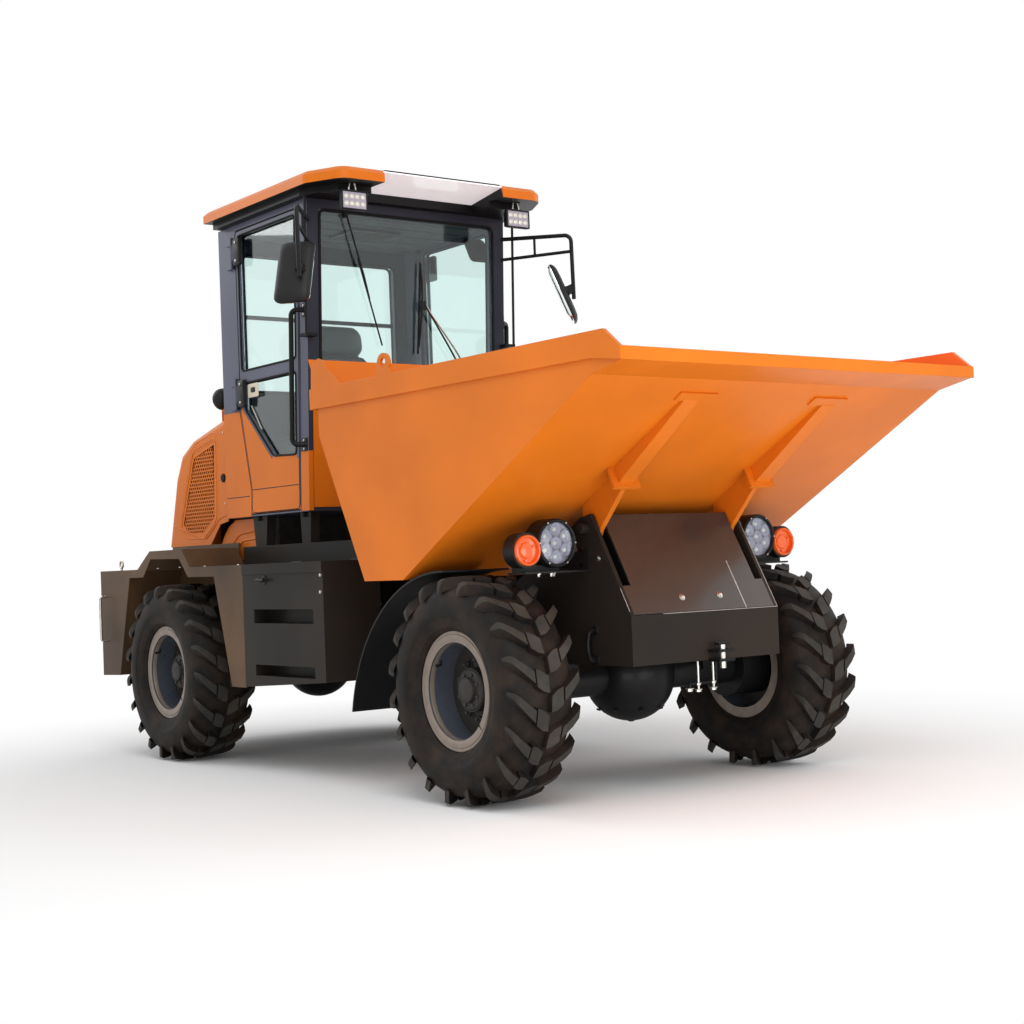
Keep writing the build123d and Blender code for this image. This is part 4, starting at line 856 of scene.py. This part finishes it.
def seals():
    """Rubber profiles round the windscreen and the rear window, mounts, hinges and edge strips."""
    bm = bmesh.new()
    windscreen = ((-552, 1870), (552, 1870), (552, 2862), (-552, 2862))
    swept(bm, [at(front(z, 1), y, z) for y, z in windscreen], 8, bend=40, closed=True)
    rear_window = ((-500, 2020), (500, 2020), (500, 2790), (-500, 2790))
    for x in (-2624, -2574):
        swept(bm, [at(x, y, z) for y, z in rear_window], 7, bend=40, closed=True)
    slab(bm, at(-2604, -490, 2430), at(-2590, 490, 2452), 1)
    for side, on in both():
        for x in (-2315, -1825):
            turned(bm, [(0, 34), (6, 40), (14, 30), (20, 40), (26, 34)], on(x, 566, 1286), Z, 24)
        for x, z in ((-1742, 1655), (-1700, 2345)):
            slab(bm, on(x - 22, 627, z - 34), on(x + 24, 633, z + 34), 3)
            for dz in (-22, 22):
                bolt(bm, on(x, 633, z + dz), Y * side, 11, 5, 2, washer=False)
        post = ((1622, 80), (1622, 0), (1316, 0), (1316, 80))
        prism(bm, [on(front(z) - back, 627, z) for z, back in post], (0, side * 1.5, 0), 4)
        edge = ((1622, 602), (1622, 628), (1316, 628), (1316, 602))
        prism(bm, [on(front(z), wide, z) for z, wide in edge], (1.5, 0, 0), 4)
    piece("cab_seals", bm, "rear_frame",
          ["seal_rubber", "black_abs", "zinc_plate", "black_enamel", "body_enamel"])


def wipers():
    """A pantograph wiper on the driver's side and a single arm hung from the screen's head."""
    bm = bmesh.new()

    def screen(y, z, out):
        return at(front(z, out), y, z)

    swept(bm, [screen(63, 2632, 12), screen(42, 2144, 12)], 6)
    swept(bm, [screen(62, 2600, 16), screen(66, 2520, 24), screen(62, 2410, 30), screen(52, 2270, 24),
               screen(45, 2180, 16)], 6, 8, 1, 60)
    slab(bm, screen(50, 2424, 14), screen(84, 2376, 34), 1)
    for dy, dz, coat in ((0, 0, 1), (52, -26, 2)):
        swept(bm, [screen(74 + dy * 0.4, 2420 + dz, 22), screen(230 + dy, 2190 + dz, 30),
                   screen(290 + dy, 2105 + dz, 26), screen(300 + dy, 2040 + dz, 14)], 5, 8, coat, 30)
    for dy in (0, 52):
        turned(bm, [(0, 17), (16, 15), (20, 8), (20, 0)], screen(300 + dy, 2040 - dy * 0.5, 0), X, 20, 1)
    slab(bm, screen(280, 2060, 0), screen(350, 2010, 6), 1)
    swept(bm, [screen(-401, 2845, 20), screen(-300, 2534, 24), screen(-262, 2416, 16)], 5, 8, 1)
    swept(bm, [screen(-330, 2628, 12), screen(-184, 2177, 12)], 4.5)
    turned(bm, [(0, 16), (20, 14), (24, 6), (24, 0)], screen(-401, 2845, 0), X, 20, 1)
    piece("wipers", bm, "rear_frame", ["seal_rubber", "black_enamel", "zinc_plate"])


def lining():
    """Sun visor, ribbed headliner and the air vents in it."""
    bm = bmesh.new()
    rounded(bm, [(-7, 66, 74, 22), (-5, 70, 78, 24), (5, 70, 78, 24), (7, 66, 74, 22)],
            Matrix.Translation(at(-1752, 520, 2752)) @ spin(-28, "Y"))
    slab(bm, at(-2560, -560, 2868), at(-1720, 560, 2880), 1)
    for x in range(-2520, -1879, 160):
        slab(bm, at(x, -520, 2862), at(x + 120, 520, 2869), 1)
    slab(bm, at(-2230, -150, 2846), at(-1960, 150, 2866))
    for x in range(-2210, -2009, 40):
        slab(bm, at(x, -130, 2842), at(x + 10, 130, 2847))
    piece("cab_lining", bm, "rear_frame", ["black_abs", "headliner"], ease=1.5)


def roof_guard():
    """Wire mesh over the roof's clear panel, two rows of three bays of fine wires in a round-bar frame."""
    low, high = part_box("roof_skylight")
    bm = bmesh.new()
    drop = (low.z - high.z + 18 * MM) / (high.x - low.x)
    wire = sizes().wire / 2 / MM
    x0, x1, y0, y1 = low.x + 6 * MM, high.x - 4 * MM, low.y + 8 * MM, high.y - 8 * MM

    def spot(x, y, sunk=0.0):
        """Point over the panel at shares of the guard's length and width."""
        x, y = x0 + (x1 - x0) * x, y0 + (y1 - y0) * y
        return Vector((x, y, high.z + (4 - sunk) * MM + (high.x - x) * drop))

    swept(bm, [spot(0, 0), spot(1, 0), spot(1, 1), spot(0, 1)], wire * 1.5, bend=15, closed=True)
    swept(bm, [spot(0.5, 0), spot(0.5, 1)], wire * 1.3)
    for k in (1, 2):
        swept(bm, [spot(0, k / 3), spot(1, k / 3)], wire * 1.3)
    for k in range(1, 36):
        swept(bm, [spot(0, k / 36, wire), spot(1, k / 36, wire)], wire * 0.45, 5)
    for k in range(1, 9):
        swept(bm, [spot(k / 9, 0), spot(k / 9, 1)], wire * 0.45, 5)
    piece("roof_guard", bm, "rear_frame", ["black_enamel"])


def door(side, on, name):
    """Seals round both panes, the lock plate with its latch, hinge covers, gas strut and inner handle."""
    bm = bmesh.new()
    upper = [(-2394, 2850), (-2394, 2108), (front(2108) - 122, 2108), (front(2850) - 122, 2850)]
    lower = [(-2368, 2040), (-2368, 1894), (-2075, 1622), (front(1612) - 122, 1612), (front(2040) - 122, 2040)]
    for ring in (upper, lower):
        for face in (630, 595):
            swept(bm, [on(x, face, z) for x, z in ring], 6, bend=26, closed=True)
    border = [(-2424, 2877), (-2424, 1920), (-2320, 1460), (-2328, 1330), (front(1330) - 90, 1330),
              (front(2877) - 90, 2877)]
    swept(bm, [on(x, 628.5, z) for x, z in border], 4, 6, bend=30, closed=True)

    def plate(x, y, z, sections, coat):
        """Rounded plate that faces outwards."""
        rounded(bm, sections, Matrix.Translation(on(x, y, z)) @ spin(side * 90), coat)

    plate(-2272, 630, 1992, [(0, 58, 38, 10), (4, 56, 36, 10)], 1)
    plate(-2268, 630, 1994, [(4, 22, 14, 6), (8, 20, 13, 6), (9, 16, 10, 5)], 2)
    for z in (2760, 1984):
        plate(-2376, 637, z, [(0, 38, 74, 8), (16, 36, 72, 10), (20, 30, 66, 12)], 2)
        for dz in (-50, 50):
            bolt(bm, on(-2372, 657, z + dz), Y * side, 13, 5, 3, washer=False)
    swept(bm, [on(-2322, 617, 1912), on(-2215, 617, 1776)], 4, 10, 3)
    lower_skin = [(-2421, 1884), (-2414, 1902), (-2398, 1904), (-2383, 1880), (-2108, 1624), (-2078, 1592),
                  (front(1592) - 99, 1592), (front(1332) - 99, 1332), (-2330, 1332), (-2320, 1452)]
    prism(bm, [on(x, 630, z) for x, z in lower_skin], (0, side * 1.5, 0), 4)
    grip = ((-1900, 594), (-1900, 562), (-2080, 562), (-2080, 594))
    swept(bm, [on(x, y, 2068) for x, y in grip], 8, 10, 2, 20)
    swept(bm, [on(-2316, 631, 1455), on(front(1455) - 103, 631, 1455)], 2.6, 6, 2)
    piece(f"door_{name}_fittings", bm, f"door_{name}",
          ["seal_rubber", "label_cream", "black_abs", "zinc_plate", "body_enamel"])


class DUMPER_OT_cab(bpy.types.Operator):
    """Add seals, wipers, visor, hinge covers, locks and roof guard to the cab"""

    bl_idname = "dumper.cab"
    bl_label = "Cab Fittings"

    def execute(self, context):
        for make in (seals, wipers, lining, roof_guard):
            make()
        for (side, on), name in zip(both(), ("left", "right")):
            door(side, on, name)
        return {"FINISHED"}


# ---- seat and controls -------------------------------------------------------------------
def bake(item):
    """Replace the mesh by what its modifiers make of it."""
    bpy.context.view_layer.update()
    made = bpy.data.meshes.new_from_object(item.evaluated_get(bpy.context.evaluated_depsgraph_get()))
    item.modifiers.clear()
    item.data = made


def inflate(item, cap):
    """Run the cloth under pressure, and let no point move further than the cap."""
    before = [v.co.copy() for v in item.data.vertices]
    cloth = item.modifiers.new("vinyl", "CLOTH")
    cloth.settings.use_pressure = True
    cloth.settings.uniform_pressure_force = 4
    cloth.settings.effector_weights.gravity = 0
    for number in range(1, 21):
        bpy.context.scene.frame_set(number)
    bake(item)
    for v, old in zip(item.data.vertices, before):
        move = v.co - old
        if move.length > cap:
            v.co = old + move.normalized() * cap
    bpy.context.scene.frame_set(1)


def soften(item):
    """Even the mesh out with one round of subdivision."""
    soft = item.modifiers.new("soft", "SUBSURF")
    soft.levels = soft.render_levels = 1
    bake(item)
    for face in item.data.polygons:
        face.use_smooth = True


def pad(name, place, size, node, across, bolster, thick):
    """Foam pad under vinyl: blown up a little by simulation, then drawn in along its sewn channels.

    Thick is the axis it faces along, across holds the channels' places and bolster the side seams', in metres.
    """
    along = 2 - thick
    deep, wide, tall = size[thick] / 2 / MM, size.y / 2 / MM, size[along] / 2 / MM
    inset, run, corner, turn = (16, 14, 50, -90) if thick else (20, 16, 60, 0)
    bm = bmesh.new()
    rounded(bm, [(-deep, wide - inset, tall - inset, corner), (-deep + run, wide, tall, corner + 20),
                 (deep - 20, wide, tall, corner + 20), (deep, wide - 24, tall - 24, corner)],
            spin(turn, "Y"), 0, 8)
    item = piece(name, bm, "rear_frame", ["seat_vinyl"])
    grid = item.modifiers.new("remesh", "REMESH")
    grid.mode = "VOXEL"
    grid.voxel_size = 7 * MM
    bake(item)
    inflate(item, 12 * MM)
    channel_wide, channel_deep, seam_wide, seam_deep = 7 * MM, 12 * MM, 8 * MM, 14 * MM
    for v in item.data.vertices:
        if v.co[thick] > 0:
            channel = max(math.exp(-((v.co[along] - a) / channel_wide) ** 2) for a in across)
            seam = math.exp(-((abs(v.co.y) - bolster) / seam_wide) ** 2)
            v.co[thick] -= channel_deep * channel * (abs(v.co.y) < bolster) + seam_deep * seam
    soften(item)
    item.data.transform(place)
    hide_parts(node)


def head_pad():
    """Wide rounded head pad on two bright posts above the backrest."""
    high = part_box("seat_backrest")[1]
    middle = Vector((high.x - 150 * MM, 0, high.z + 58 * MM))
    bm = bmesh.new()
    rounded(bm, [(-44, 150, 50, 40), (-36, 178, 78, 60), (-10, 192, 92, 70), (22, 190, 90, 70),
                 (38, 172, 72, 58), (44, 146, 46, 38)], Matrix.Translation(middle) @ spin(-7.5, "Y"), 0, 8)
    item = piece("head_pad", bm, "rear_frame", ["seat_vinyl"], crease=1.6)
    soften(item)
    bm = bmesh.new()
    for y in (-62, 62):
        swept(bm, [middle + by(0, y, -150), middle + by(0, y, -30)], 6, 10)
    piece("head_pad_posts", bm, "rear_frame", ["bright_bar"])


def seat_frame():
    """Bellows of the suspension, arm rests and the belt's buckle."""
    middle = centre("seat_base")
    bm = bmesh.new()
    for z in range(-70, 67, 34):
        corners = ((-180, -180), (180, -180), (180, 180), (-180, 180))
        swept(bm, [middle + by(x, y, z) for x, y in corners], 13, bend=60, closed=True)
    for _, on in both():
        swept(bm, [on(-2450, 262, 1850), on(-2370, 268, 1860), on(-2140, 268, 1850)], 20, 12, bend=50)
        swept(bm, [on(-2395, 244, 1668), on(-2400, 262, 1850)], 11)
        slab(bm, on(-2430, 222, 1620), on(-2360, 250, 1700))
    slab(bm, at(-2200, 236, 1600), at(-2150, 262, 1670))
    slab(bm, at(-2190, 246, 1670), at(-2165, 251, 1740), 1)
    piece("seat_frame", bm, "rear_frame", ["black_abs", "red_lens"], ease=2)


def steering():
    """Wheel with a thick grip, three spokes of two bars, a hub and a knob."""
    middle = centre("steering_wheel")
    axis = Vector((-0.2, 0, 1)).normalized()
    up = axis.cross(Y)

    def rim(turn, radius, raised=0.0, across=0.0):
        """Point on the wheel's face, so many millimetres from its middle."""
        out = Y * math.cos(turn) + up * math.sin(turn)
        return middle + (out * radius + axis * raised + axis.cross(out) * across) * MM

    bm = bmesh.new()
    rim_r, knob_turn = 184, 2.4
    swept(bm, [rim(math.tau * k / 48, rim_r) for k in range(48)], 13, 14, closed=True)
    for turn in (math.radians(90), math.radians(210), math.radians(330)):
        for k in (-1, 1):
            swept(bm, [rim(turn, 24, -3, k * 8), rim(turn, 100, 0, k * 6), rim(turn, 178, 0, k * 9)], 6)
    turned(bm, [(-12, 0), (-12, 36), (4, 38), (10, 33), (12, 24), (12, 0)], middle, axis, 32)
    turned(bm, [(0, 8), (12, 8), (13, 18), (24, 24), (36, 18), (40, 0)], rim(knob_turn, 178), axis, 20)
    item = piece("steering_wheel_rim", bm, "rear_frame", ["black_abs"])
    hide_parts("steering_wheel")


def controls():
    """Levers with gaiters, a dial panel and the lamps' switches on the consoles."""
    bm = bmesh.new()
    for x, y, knob in ((-2100, -400, 2), (-2160, -400, 0), (-2220, -360, 0)):
        foot = at(x, y, 1720)
        for k in range(4):
            turned(bm, [(0, 30 - 5 * k), (8, 33 - 5 * k), (14, 26 - 5 * k)], foot + by(0, 0, 14 * k), Z, 18)
        top = foot + by(24, 0, 190)
        swept(bm, [foot + by(0, 0, 30), top], 6, 8, 1)
        turned(bm, [(-14, 10), (0, 19), (22, 21), (38, 12), (40, 0)], top, (0.1, 0, 1), 18, knob)
    for y in (-220, -315, -410):
        spot, facing = at(-1865, y, 1700), (-1, 0, 0.2)
        turned(bm, [(0, 38), (6, 38), (8, 34), (4, 33)], spot, facing, 32, 1)
        turned(bm, [(4, 33), (4.5, 0)], spot, facing, 32, 3)
        swept(bm, [spot + by(-6, 0, 0), spot + by(-7, 16, 18)], 1.6, 5, 4)
    for y in range(-190, -411, -44):
        slab(bm, at(-1872, y, 1620), at(-1860, y + 30, 1646))
    piece("controls", bm, "rear_frame", ["black_abs", "bright_bar", "red_lens", "label_cream", "body_enamel"])


class DUMPER_OT_seat(bpy.types.Operator):
    """Upholster the seat and fit the steering wheel, levers and dials"""

    bl_idname = "dumper.seat"
    bl_label = "Seat and Controls"

    def execute(self, context):
        low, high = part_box("seat_cushion")
        place = Matrix.Translation(((low.x + high.x) / 2, 0, (low.z + high.z) / 2))
        size = high - low - by(14, 14, 14)
        pad("seat_cushion_pad", place, size, "seat_cushion", (-0.13, 0.0, 0.13), 0.165, 2)
        low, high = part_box("seat_backrest")
        place = Matrix.Translation((low + high) / 2) @ spin(-7.5, "Y")
        size = Vector((96 * MM, high.y - low.y - 14 * MM, high.z - low.z - 26 * MM))
        pad("seat_back_pad", place, size, "seat_backrest", (-0.2, -0.07, 0.06, 0.18), 0.155, 0)
        for make in (head_pad, seat_frame, steering, controls):
            make()
        return {"FINISHED"}


# ---- front and rear frame ----------------------------------------------------------------
class DUMPER_OT_nose(bpy.types.Operator):
    """Add bolts, seams, towing rings, shackle rods and pale lines along edges to the front frame"""

    bl_idname = "dumper.nose"
    bl_label = "Nose Fittings"

    def execute(self, context):
        foot_x, foot_z, top_x, top_z = 525, 769, 284, 1200
        slope = Vector((top_x - foot_x, 0, top_z - foot_z)).normalized()
        out = Vector((slope.z, 0, -slope.x))

        def cover(y, up, proud=0.0):
            """Point of the sloping cover: y and the run up from its lower edge, in millimetres."""
            return at(foot_x, y, foot_z) + (slope * up + out * proud) * MM

        bm = bmesh.new()
        for y in (-110, 110):
            turned(bm, [(0, 15), (2, 15), (3, 11), (8, 9), (10, 5), (10, 0)], cover(y, 72), out, 20)
        # pale metal lines along the cover's lower and right edges and along one seam
        for a, b in (((-250, 0), (426, 0)), ((426, 0), (426, 490)), ((-426, 20), (-426, 130))):
            swept(bm, [cover(*a, -0.6), cover(*b, -0.6)], 1.5, 6, 2)
        swept(bm, [cover(238, 4, -1), cover(238, 240, -1)], 2.6, 6, 2)
        for side, on in both():
            ring = ((286, 421.5, 706), (286, 458, 702), (288, 470, 660), (288, 470, 622), (286, 458, 586),
                    (286, 421.5, 582))
            swept(bm, [on(*p) for p in ring], 10, 12, 1, 24)
            for z in (582, 706):
                turned(bm, [(0, 22), (3, 21), (7, 12)], on(286, 427.5, z), Y * side, 18, 1)
            for x, z in ((222, 1046), (222, 984), (330, 1010)):
                bolt(bm, on(x, 427.5, z), Y * side, 15, 8)
        for y, drop in ((0, 430), (89, 432)):
            swept(bm, [at(452, y, 560), at(452, y, drop)], 5)
            bolt(bm, at(452, y, drop + 30), -Z, 17, 12)
            bolt(bm, at(452, y, drop + 4), -Z, 20, 14)
        bolt(bm, at(446, -46, 440), -Z, 22, 16)
        swept(bm, [at(446, y, z) for y, z in ((-46, 440), (-46, 458), (110, 458), (110, 560))], 6, 8, 1, 12)
        bowl = Vector((centre("front_axle").x, 0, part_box("front_axle")[0].z))
        turned(bm, [(-6, 15), (4, 15), (6, 12), (6, 0)], bowl + by(0, 0, 2), -Z, 6, 1)
        # a thin black plate under the nose and black walls inside its sides: painted shade, dark sheets that close
        # the gaps where the inside of the frame lies in shade
        slab(bm, at(90, -424, 562), at(520, 424, 565), 1)
        for side, on in both():
            wall = ((120, 600), (500, 600), (500, 780), (290, 1150), (120, 1150))
            prism(bm, [on(x, 352, z) for x, z in wall], (0, -side * 3, 0), 1)
        for y, x in around(8, 1, 0.5):
            bolt(bm, bowl + by(150 * x, 150 * y, 62), (0.35 * x, 0.35 * y, -1), 17, 9, 1, washer=False)
        piece("nose_fittings", bm, "front_frame", ["zinc_plate", "black_enamel", "bare_edge"])
        return {"FINISHED"}


class DUMPER_OT_boxes(bpy.types.Operator):
    """Add latches, bolts and skirts along the rear frame's sides"""

    bl_idname = "dumper.boxes"
    bl_label = "Step Boxes and Skirts"

    def execute(self, context):
        bm = bmesh.new()
        for side, on in both():
            turned(bm, [(0, 24), (4, 23), (5, 12), (22, 11)], on(-1674, 930, 969), Y * side, 24)
            swept(bm, [on(-1712, 954, 969), on(-1636, 954, 969)], 8, 10)
            for x, z in ((-1120, 984), (-1124, 904)):
                turned(bm, [(0, 9), (4, 8), (6, 4), (6, 0)], on(x, 930, z), Y * side, 14, 1)
            for x in (-2960, -2680, -2380, -2000):
                turned(bm, [(0, 7), (4, 6), (5, 0)], on(x, 900, 1050), Z, 12, 1)
            self.skirt(bm, side, on)
        piece("side_fittings", bm, "rear_frame", ["black_abs", "zinc_plate", "body_enamel", "black_enamel"])
        return {"FINISHED"}

    def skirt(self, bm, side, on):
        """Orange skirt under the cab's rear corner with two pressed steps, and the swage above it."""
        outline = [(-2900, 1078), (-2372, 1078), (-2366, 1200), (-2376, 1304), (-2652, 1304), (-2740, 1268),
                   (-2800, 1216)]
        prism(bm, [on(x, 560, z) for x, z in outline], (0, side * 4, 0), 2)
        for path in ([(-2760, 1082), (-2700, 1168), (-2610, 1226), (-2374, 1238)],
                     [(-2700, 1080), (-2640, 1146), (-2580, 1186), (-2374, 1196)]):
            swept(bm, [on(x, 563, z) for x, z in path], 6, 8, 2, 40)
        for z in (1085, 1180):
            bolt(bm, on(-2396, 564, z), Y * side, 12, 5, 1, washer=False)
        swept(bm, [on(-2612, 630.5, 1423), on(-2352, 630.5, 1423)], 2.6, 6, 3)


class DUMPER_OT_hydraulics(bpy.types.Operator):
    """Run the formed steel pipes, valve blocks and couplings along the rear frame"""

    bl_idname = "dumper.hydraulics"
    bl_label = "Hydraulic Lines"

    def execute(self, context):
        bm = bmesh.new()
        for side, on in both():
            for z in (726, 760):
                run = [on(x, 341, z + lift) for x, lift in ((-3120, 0), (-2660, 0), (-2600, 26), (-1730, 26),
                                                            (-1680, 0), (-1560, 0))]
                swept(bm, run, sizes().pipe / 2 / MM, 10, bend=36)
                for tip, way in ((run[0], -X), (run[-1], X)):
                    bolt(bm, tip, way, 27, 20, 1, washer=False)
                    turned(bm, [(18, 13), (34, 12), (36, 9), (50, 9)], tip, way, 16, 1)
            for x, lift in ((-2980, 0), (-2420, 26), (-2020, 26), (-1800, 26)):
                slab(bm, on(x - 14, 329, 712 + lift), on(x + 14, 352, 774 + lift), 2)
                bolt(bm, on(x, 352, 743 + lift), Y * side, 13, 6, 1, washer=False)
            slab(bm, on(-1590, 329, 690), on(-1500, 372, 800), 2)
            for x, z, way in ((-1568, 812, Z), (-1522, 812, Z), (-1568, 678, -Z)):
                bolt(bm, on(x, 352, z), way, 24, 16, 1, washer=False)
        piece("rear_lines", bm, "rear_frame", ["pipe_steel", "zinc_plate", "black_enamel"])
        return {"FINISHED"}


# ---- stage -------------------------------------------------------------------------------
LIGHTS = (  # name, place, size in metres, watts
    ("key_light", (5.5, -3.0, 6.5), 4.5, 240),
    ("fill_light", (2.0, 7.5, 4.5), 5.0, 140),
    ("back_light", (-6.5, -3.5, 6.0), 4.0, 140),
    ("low_light", (4.9, 0.1, 0.2), 2.6, 66),
    ("left_light", (4.3, -3.2, 0.2), 2.2, 48),
)
WHITE = (1, 1, 1, 1)


def looked_at(tree, amount):
    """The amount where a camera, mirror or glass ray looks, and 0 where light only falls."""
    ray = add(tree, "LightPath").outputs
    seen = add(tree, "Math", {0: ray["Is Camera Ray"], 1: ray["Is Glossy Ray"]}, operation="MAXIMUM")
    seen = add(tree, "Math", {0: seen, 1: ray["Is Transmission Ray"]}, operation="MAXIMUM")
    return add(tree, "Math", {0: seen, 1: amount}, operation="MULTIPLY")


class DUMPER_OT_stage(bpy.types.Operator):
    """Set the pale floor, the soft lights and the camera"""

    bl_idname = "dumper.stage"
    bl_label = "Stage"

    def execute(self, context):
        scene = context.scene
        self.floor(scene)
        scene.world = world = bpy.data.worlds.new("studio_sky")
        world.use_nodes = True
        tree = world.node_tree
        tree.nodes.clear()
        light = add(tree, "Background", {"Color": WHITE, "Strength": 0.62})
        plain = add(tree, "Background", {"Color": WHITE, "Strength": 1.0})
        mix = add(tree, "MixShader", {0: looked_at(tree, 1.0), 1: light, 2: plain})
        add(tree, "OutputWorld", {"Surface": mix})
        for name, place, size, watts in LIGHTS:
            lamp = bpy.data.lights.new(name, "AREA")
            lamp.energy, lamp.size = watts, size
            item = bpy.data.objects.new(name, lamp)
            item.location = place
            item.rotation_euler = (Vector((0.6, 0, 1.3)) - item.location).to_track_quat("-Z", "Y").to_euler()
            scene.collection.objects.link(item)
        self.camera(scene)
        scene.view_settings.view_transform = "Standard"
        return {"FINISHED"}

    def floor(self, scene):
        """Matt pale floor that fades into plain white away from the machine."""
        bm = bmesh.new()
        bmesh.ops.create_grid(bm, x_segments=1, y_segments=1, size=60)
        mesh = bpy.data.meshes.new("floor")
        bm.to_mesh(mesh)
        bm.free()
        floor = bpy.data.objects.new("floor", mesh)
        floor.location.z = -2 * MM
        scene.collection.objects.link(floor)
        material, tree, place = start("studio_floor")
        matt = add(tree, "BsdfPrincipled", {"Base Color": linear("#F4F4F4"), "Roughness": 0.9})
        fade_from, fade_to = 2.2, 4.6
        away = add(tree, "VectorMath", {0: place}, operation="LENGTH")
        fade = add(tree, "MapRange", {0: away.outputs["Value"], 1: fade_from, 2: fade_to})
        blank = add(tree, "Emission", {"Color": WHITE, "Strength": 1.0})
        mix = add(tree, "MixShader", {0: looked_at(tree, fade), 1: matt,
                                                2: blank})
        add(tree, "OutputMaterial", {"Surface": mix})
        mesh.materials.append(material)

    def camera(self, scene):
        """Camera low in front of the right corner, rolled a little, with everything in focus."""
        lens = bpy.data.cameras.new("view")
        lens.sensor_width = 36
        lens.lens = 58.78
        lens.clip_end = 200
        camera = bpy.data.objects.new("view", lens)
        yaw, pitch, roll = (math.radians(a) for a in (143.0506, 1.708, -2.2674))
        forward = Vector((math.cos(pitch) * math.cos(yaw), math.cos(pitch) * math.sin(yaw), math.sin(pitch)))
        across = forward.cross(Z).normalized()
        up = across.cross(forward)
        x_axis = across * math.cos(roll) + up * math.sin(roll)
        y_axis = up * math.cos(roll) - across * math.sin(roll)
        turn = Matrix((x_axis, y_axis, -forward)).transposed().to_4x4()
        camera.matrix_world = Matrix.Translation(at(5747.1, -4948.2, 1010.3)) @ turn
        scene.collection.objects.link(camera)
        scene.camera = camera


class DUMPER_PT_panel(bpy.types.Panel):
    """The dumper's settings and pieces"""

    bl_label = "Site Dumper"
    bl_idname = "DUMPER_PT_panel"
    bl_space_type = "VIEW_3D"
    bl_region_type = "UI"
    bl_category = "Dumper"

    def draw(self, context):
        layout = self.layout
        for group in (context.scene.dumper_colours, context.scene.dumper_sizes):
            column = layout.column(align=True)
            for key in group.bl_rna.properties.keys():
                if key not in ("rna_type", "name"):
                    column.prop(group, key)
        for operator in OPERATORS:
            layout.operator(operator.bl_idname)


OPERATORS = (DUMPER_OT_paint, DUMPER_OT_tyres, DUMPER_OT_wheels, DUMPER_OT_lamps, DUMPER_OT_mirrors,
             DUMPER_OT_hood, DUMPER_OT_cab, DUMPER_OT_seat, DUMPER_OT_nose, DUMPER_OT_boxes,
             DUMPER_OT_hydraulics, DUMPER_OT_stage)
CLASSES = (DumperColours, DumperSizes, *OPERATORS, DUMPER_PT_panel)


def register():
    """Add the classes and the scene's settings."""
    for item in CLASSES:
        bpy.utils.register_class(item)
    bpy.types.Scene.dumper_colours = PointerProperty(type=DumperColours)
    bpy.types.Scene.dumper_sizes = PointerProperty(type=DumperSizes)


def unregister():
    """Take the classes and settings away again."""
    del bpy.types.Scene.dumper_sizes
    del bpy.types.Scene.dumper_colours
    for item in reversed(CLASSES):
        bpy.utils.unregister_class(item)


def main():
    """Build every piece on the frame."""
    register()
    for operator in OPERATORS:
        group, name = operator.bl_idname.split(".")
        getattr(getattr(bpy.ops, group), name)()


if __name__ == "__main__":
    main()
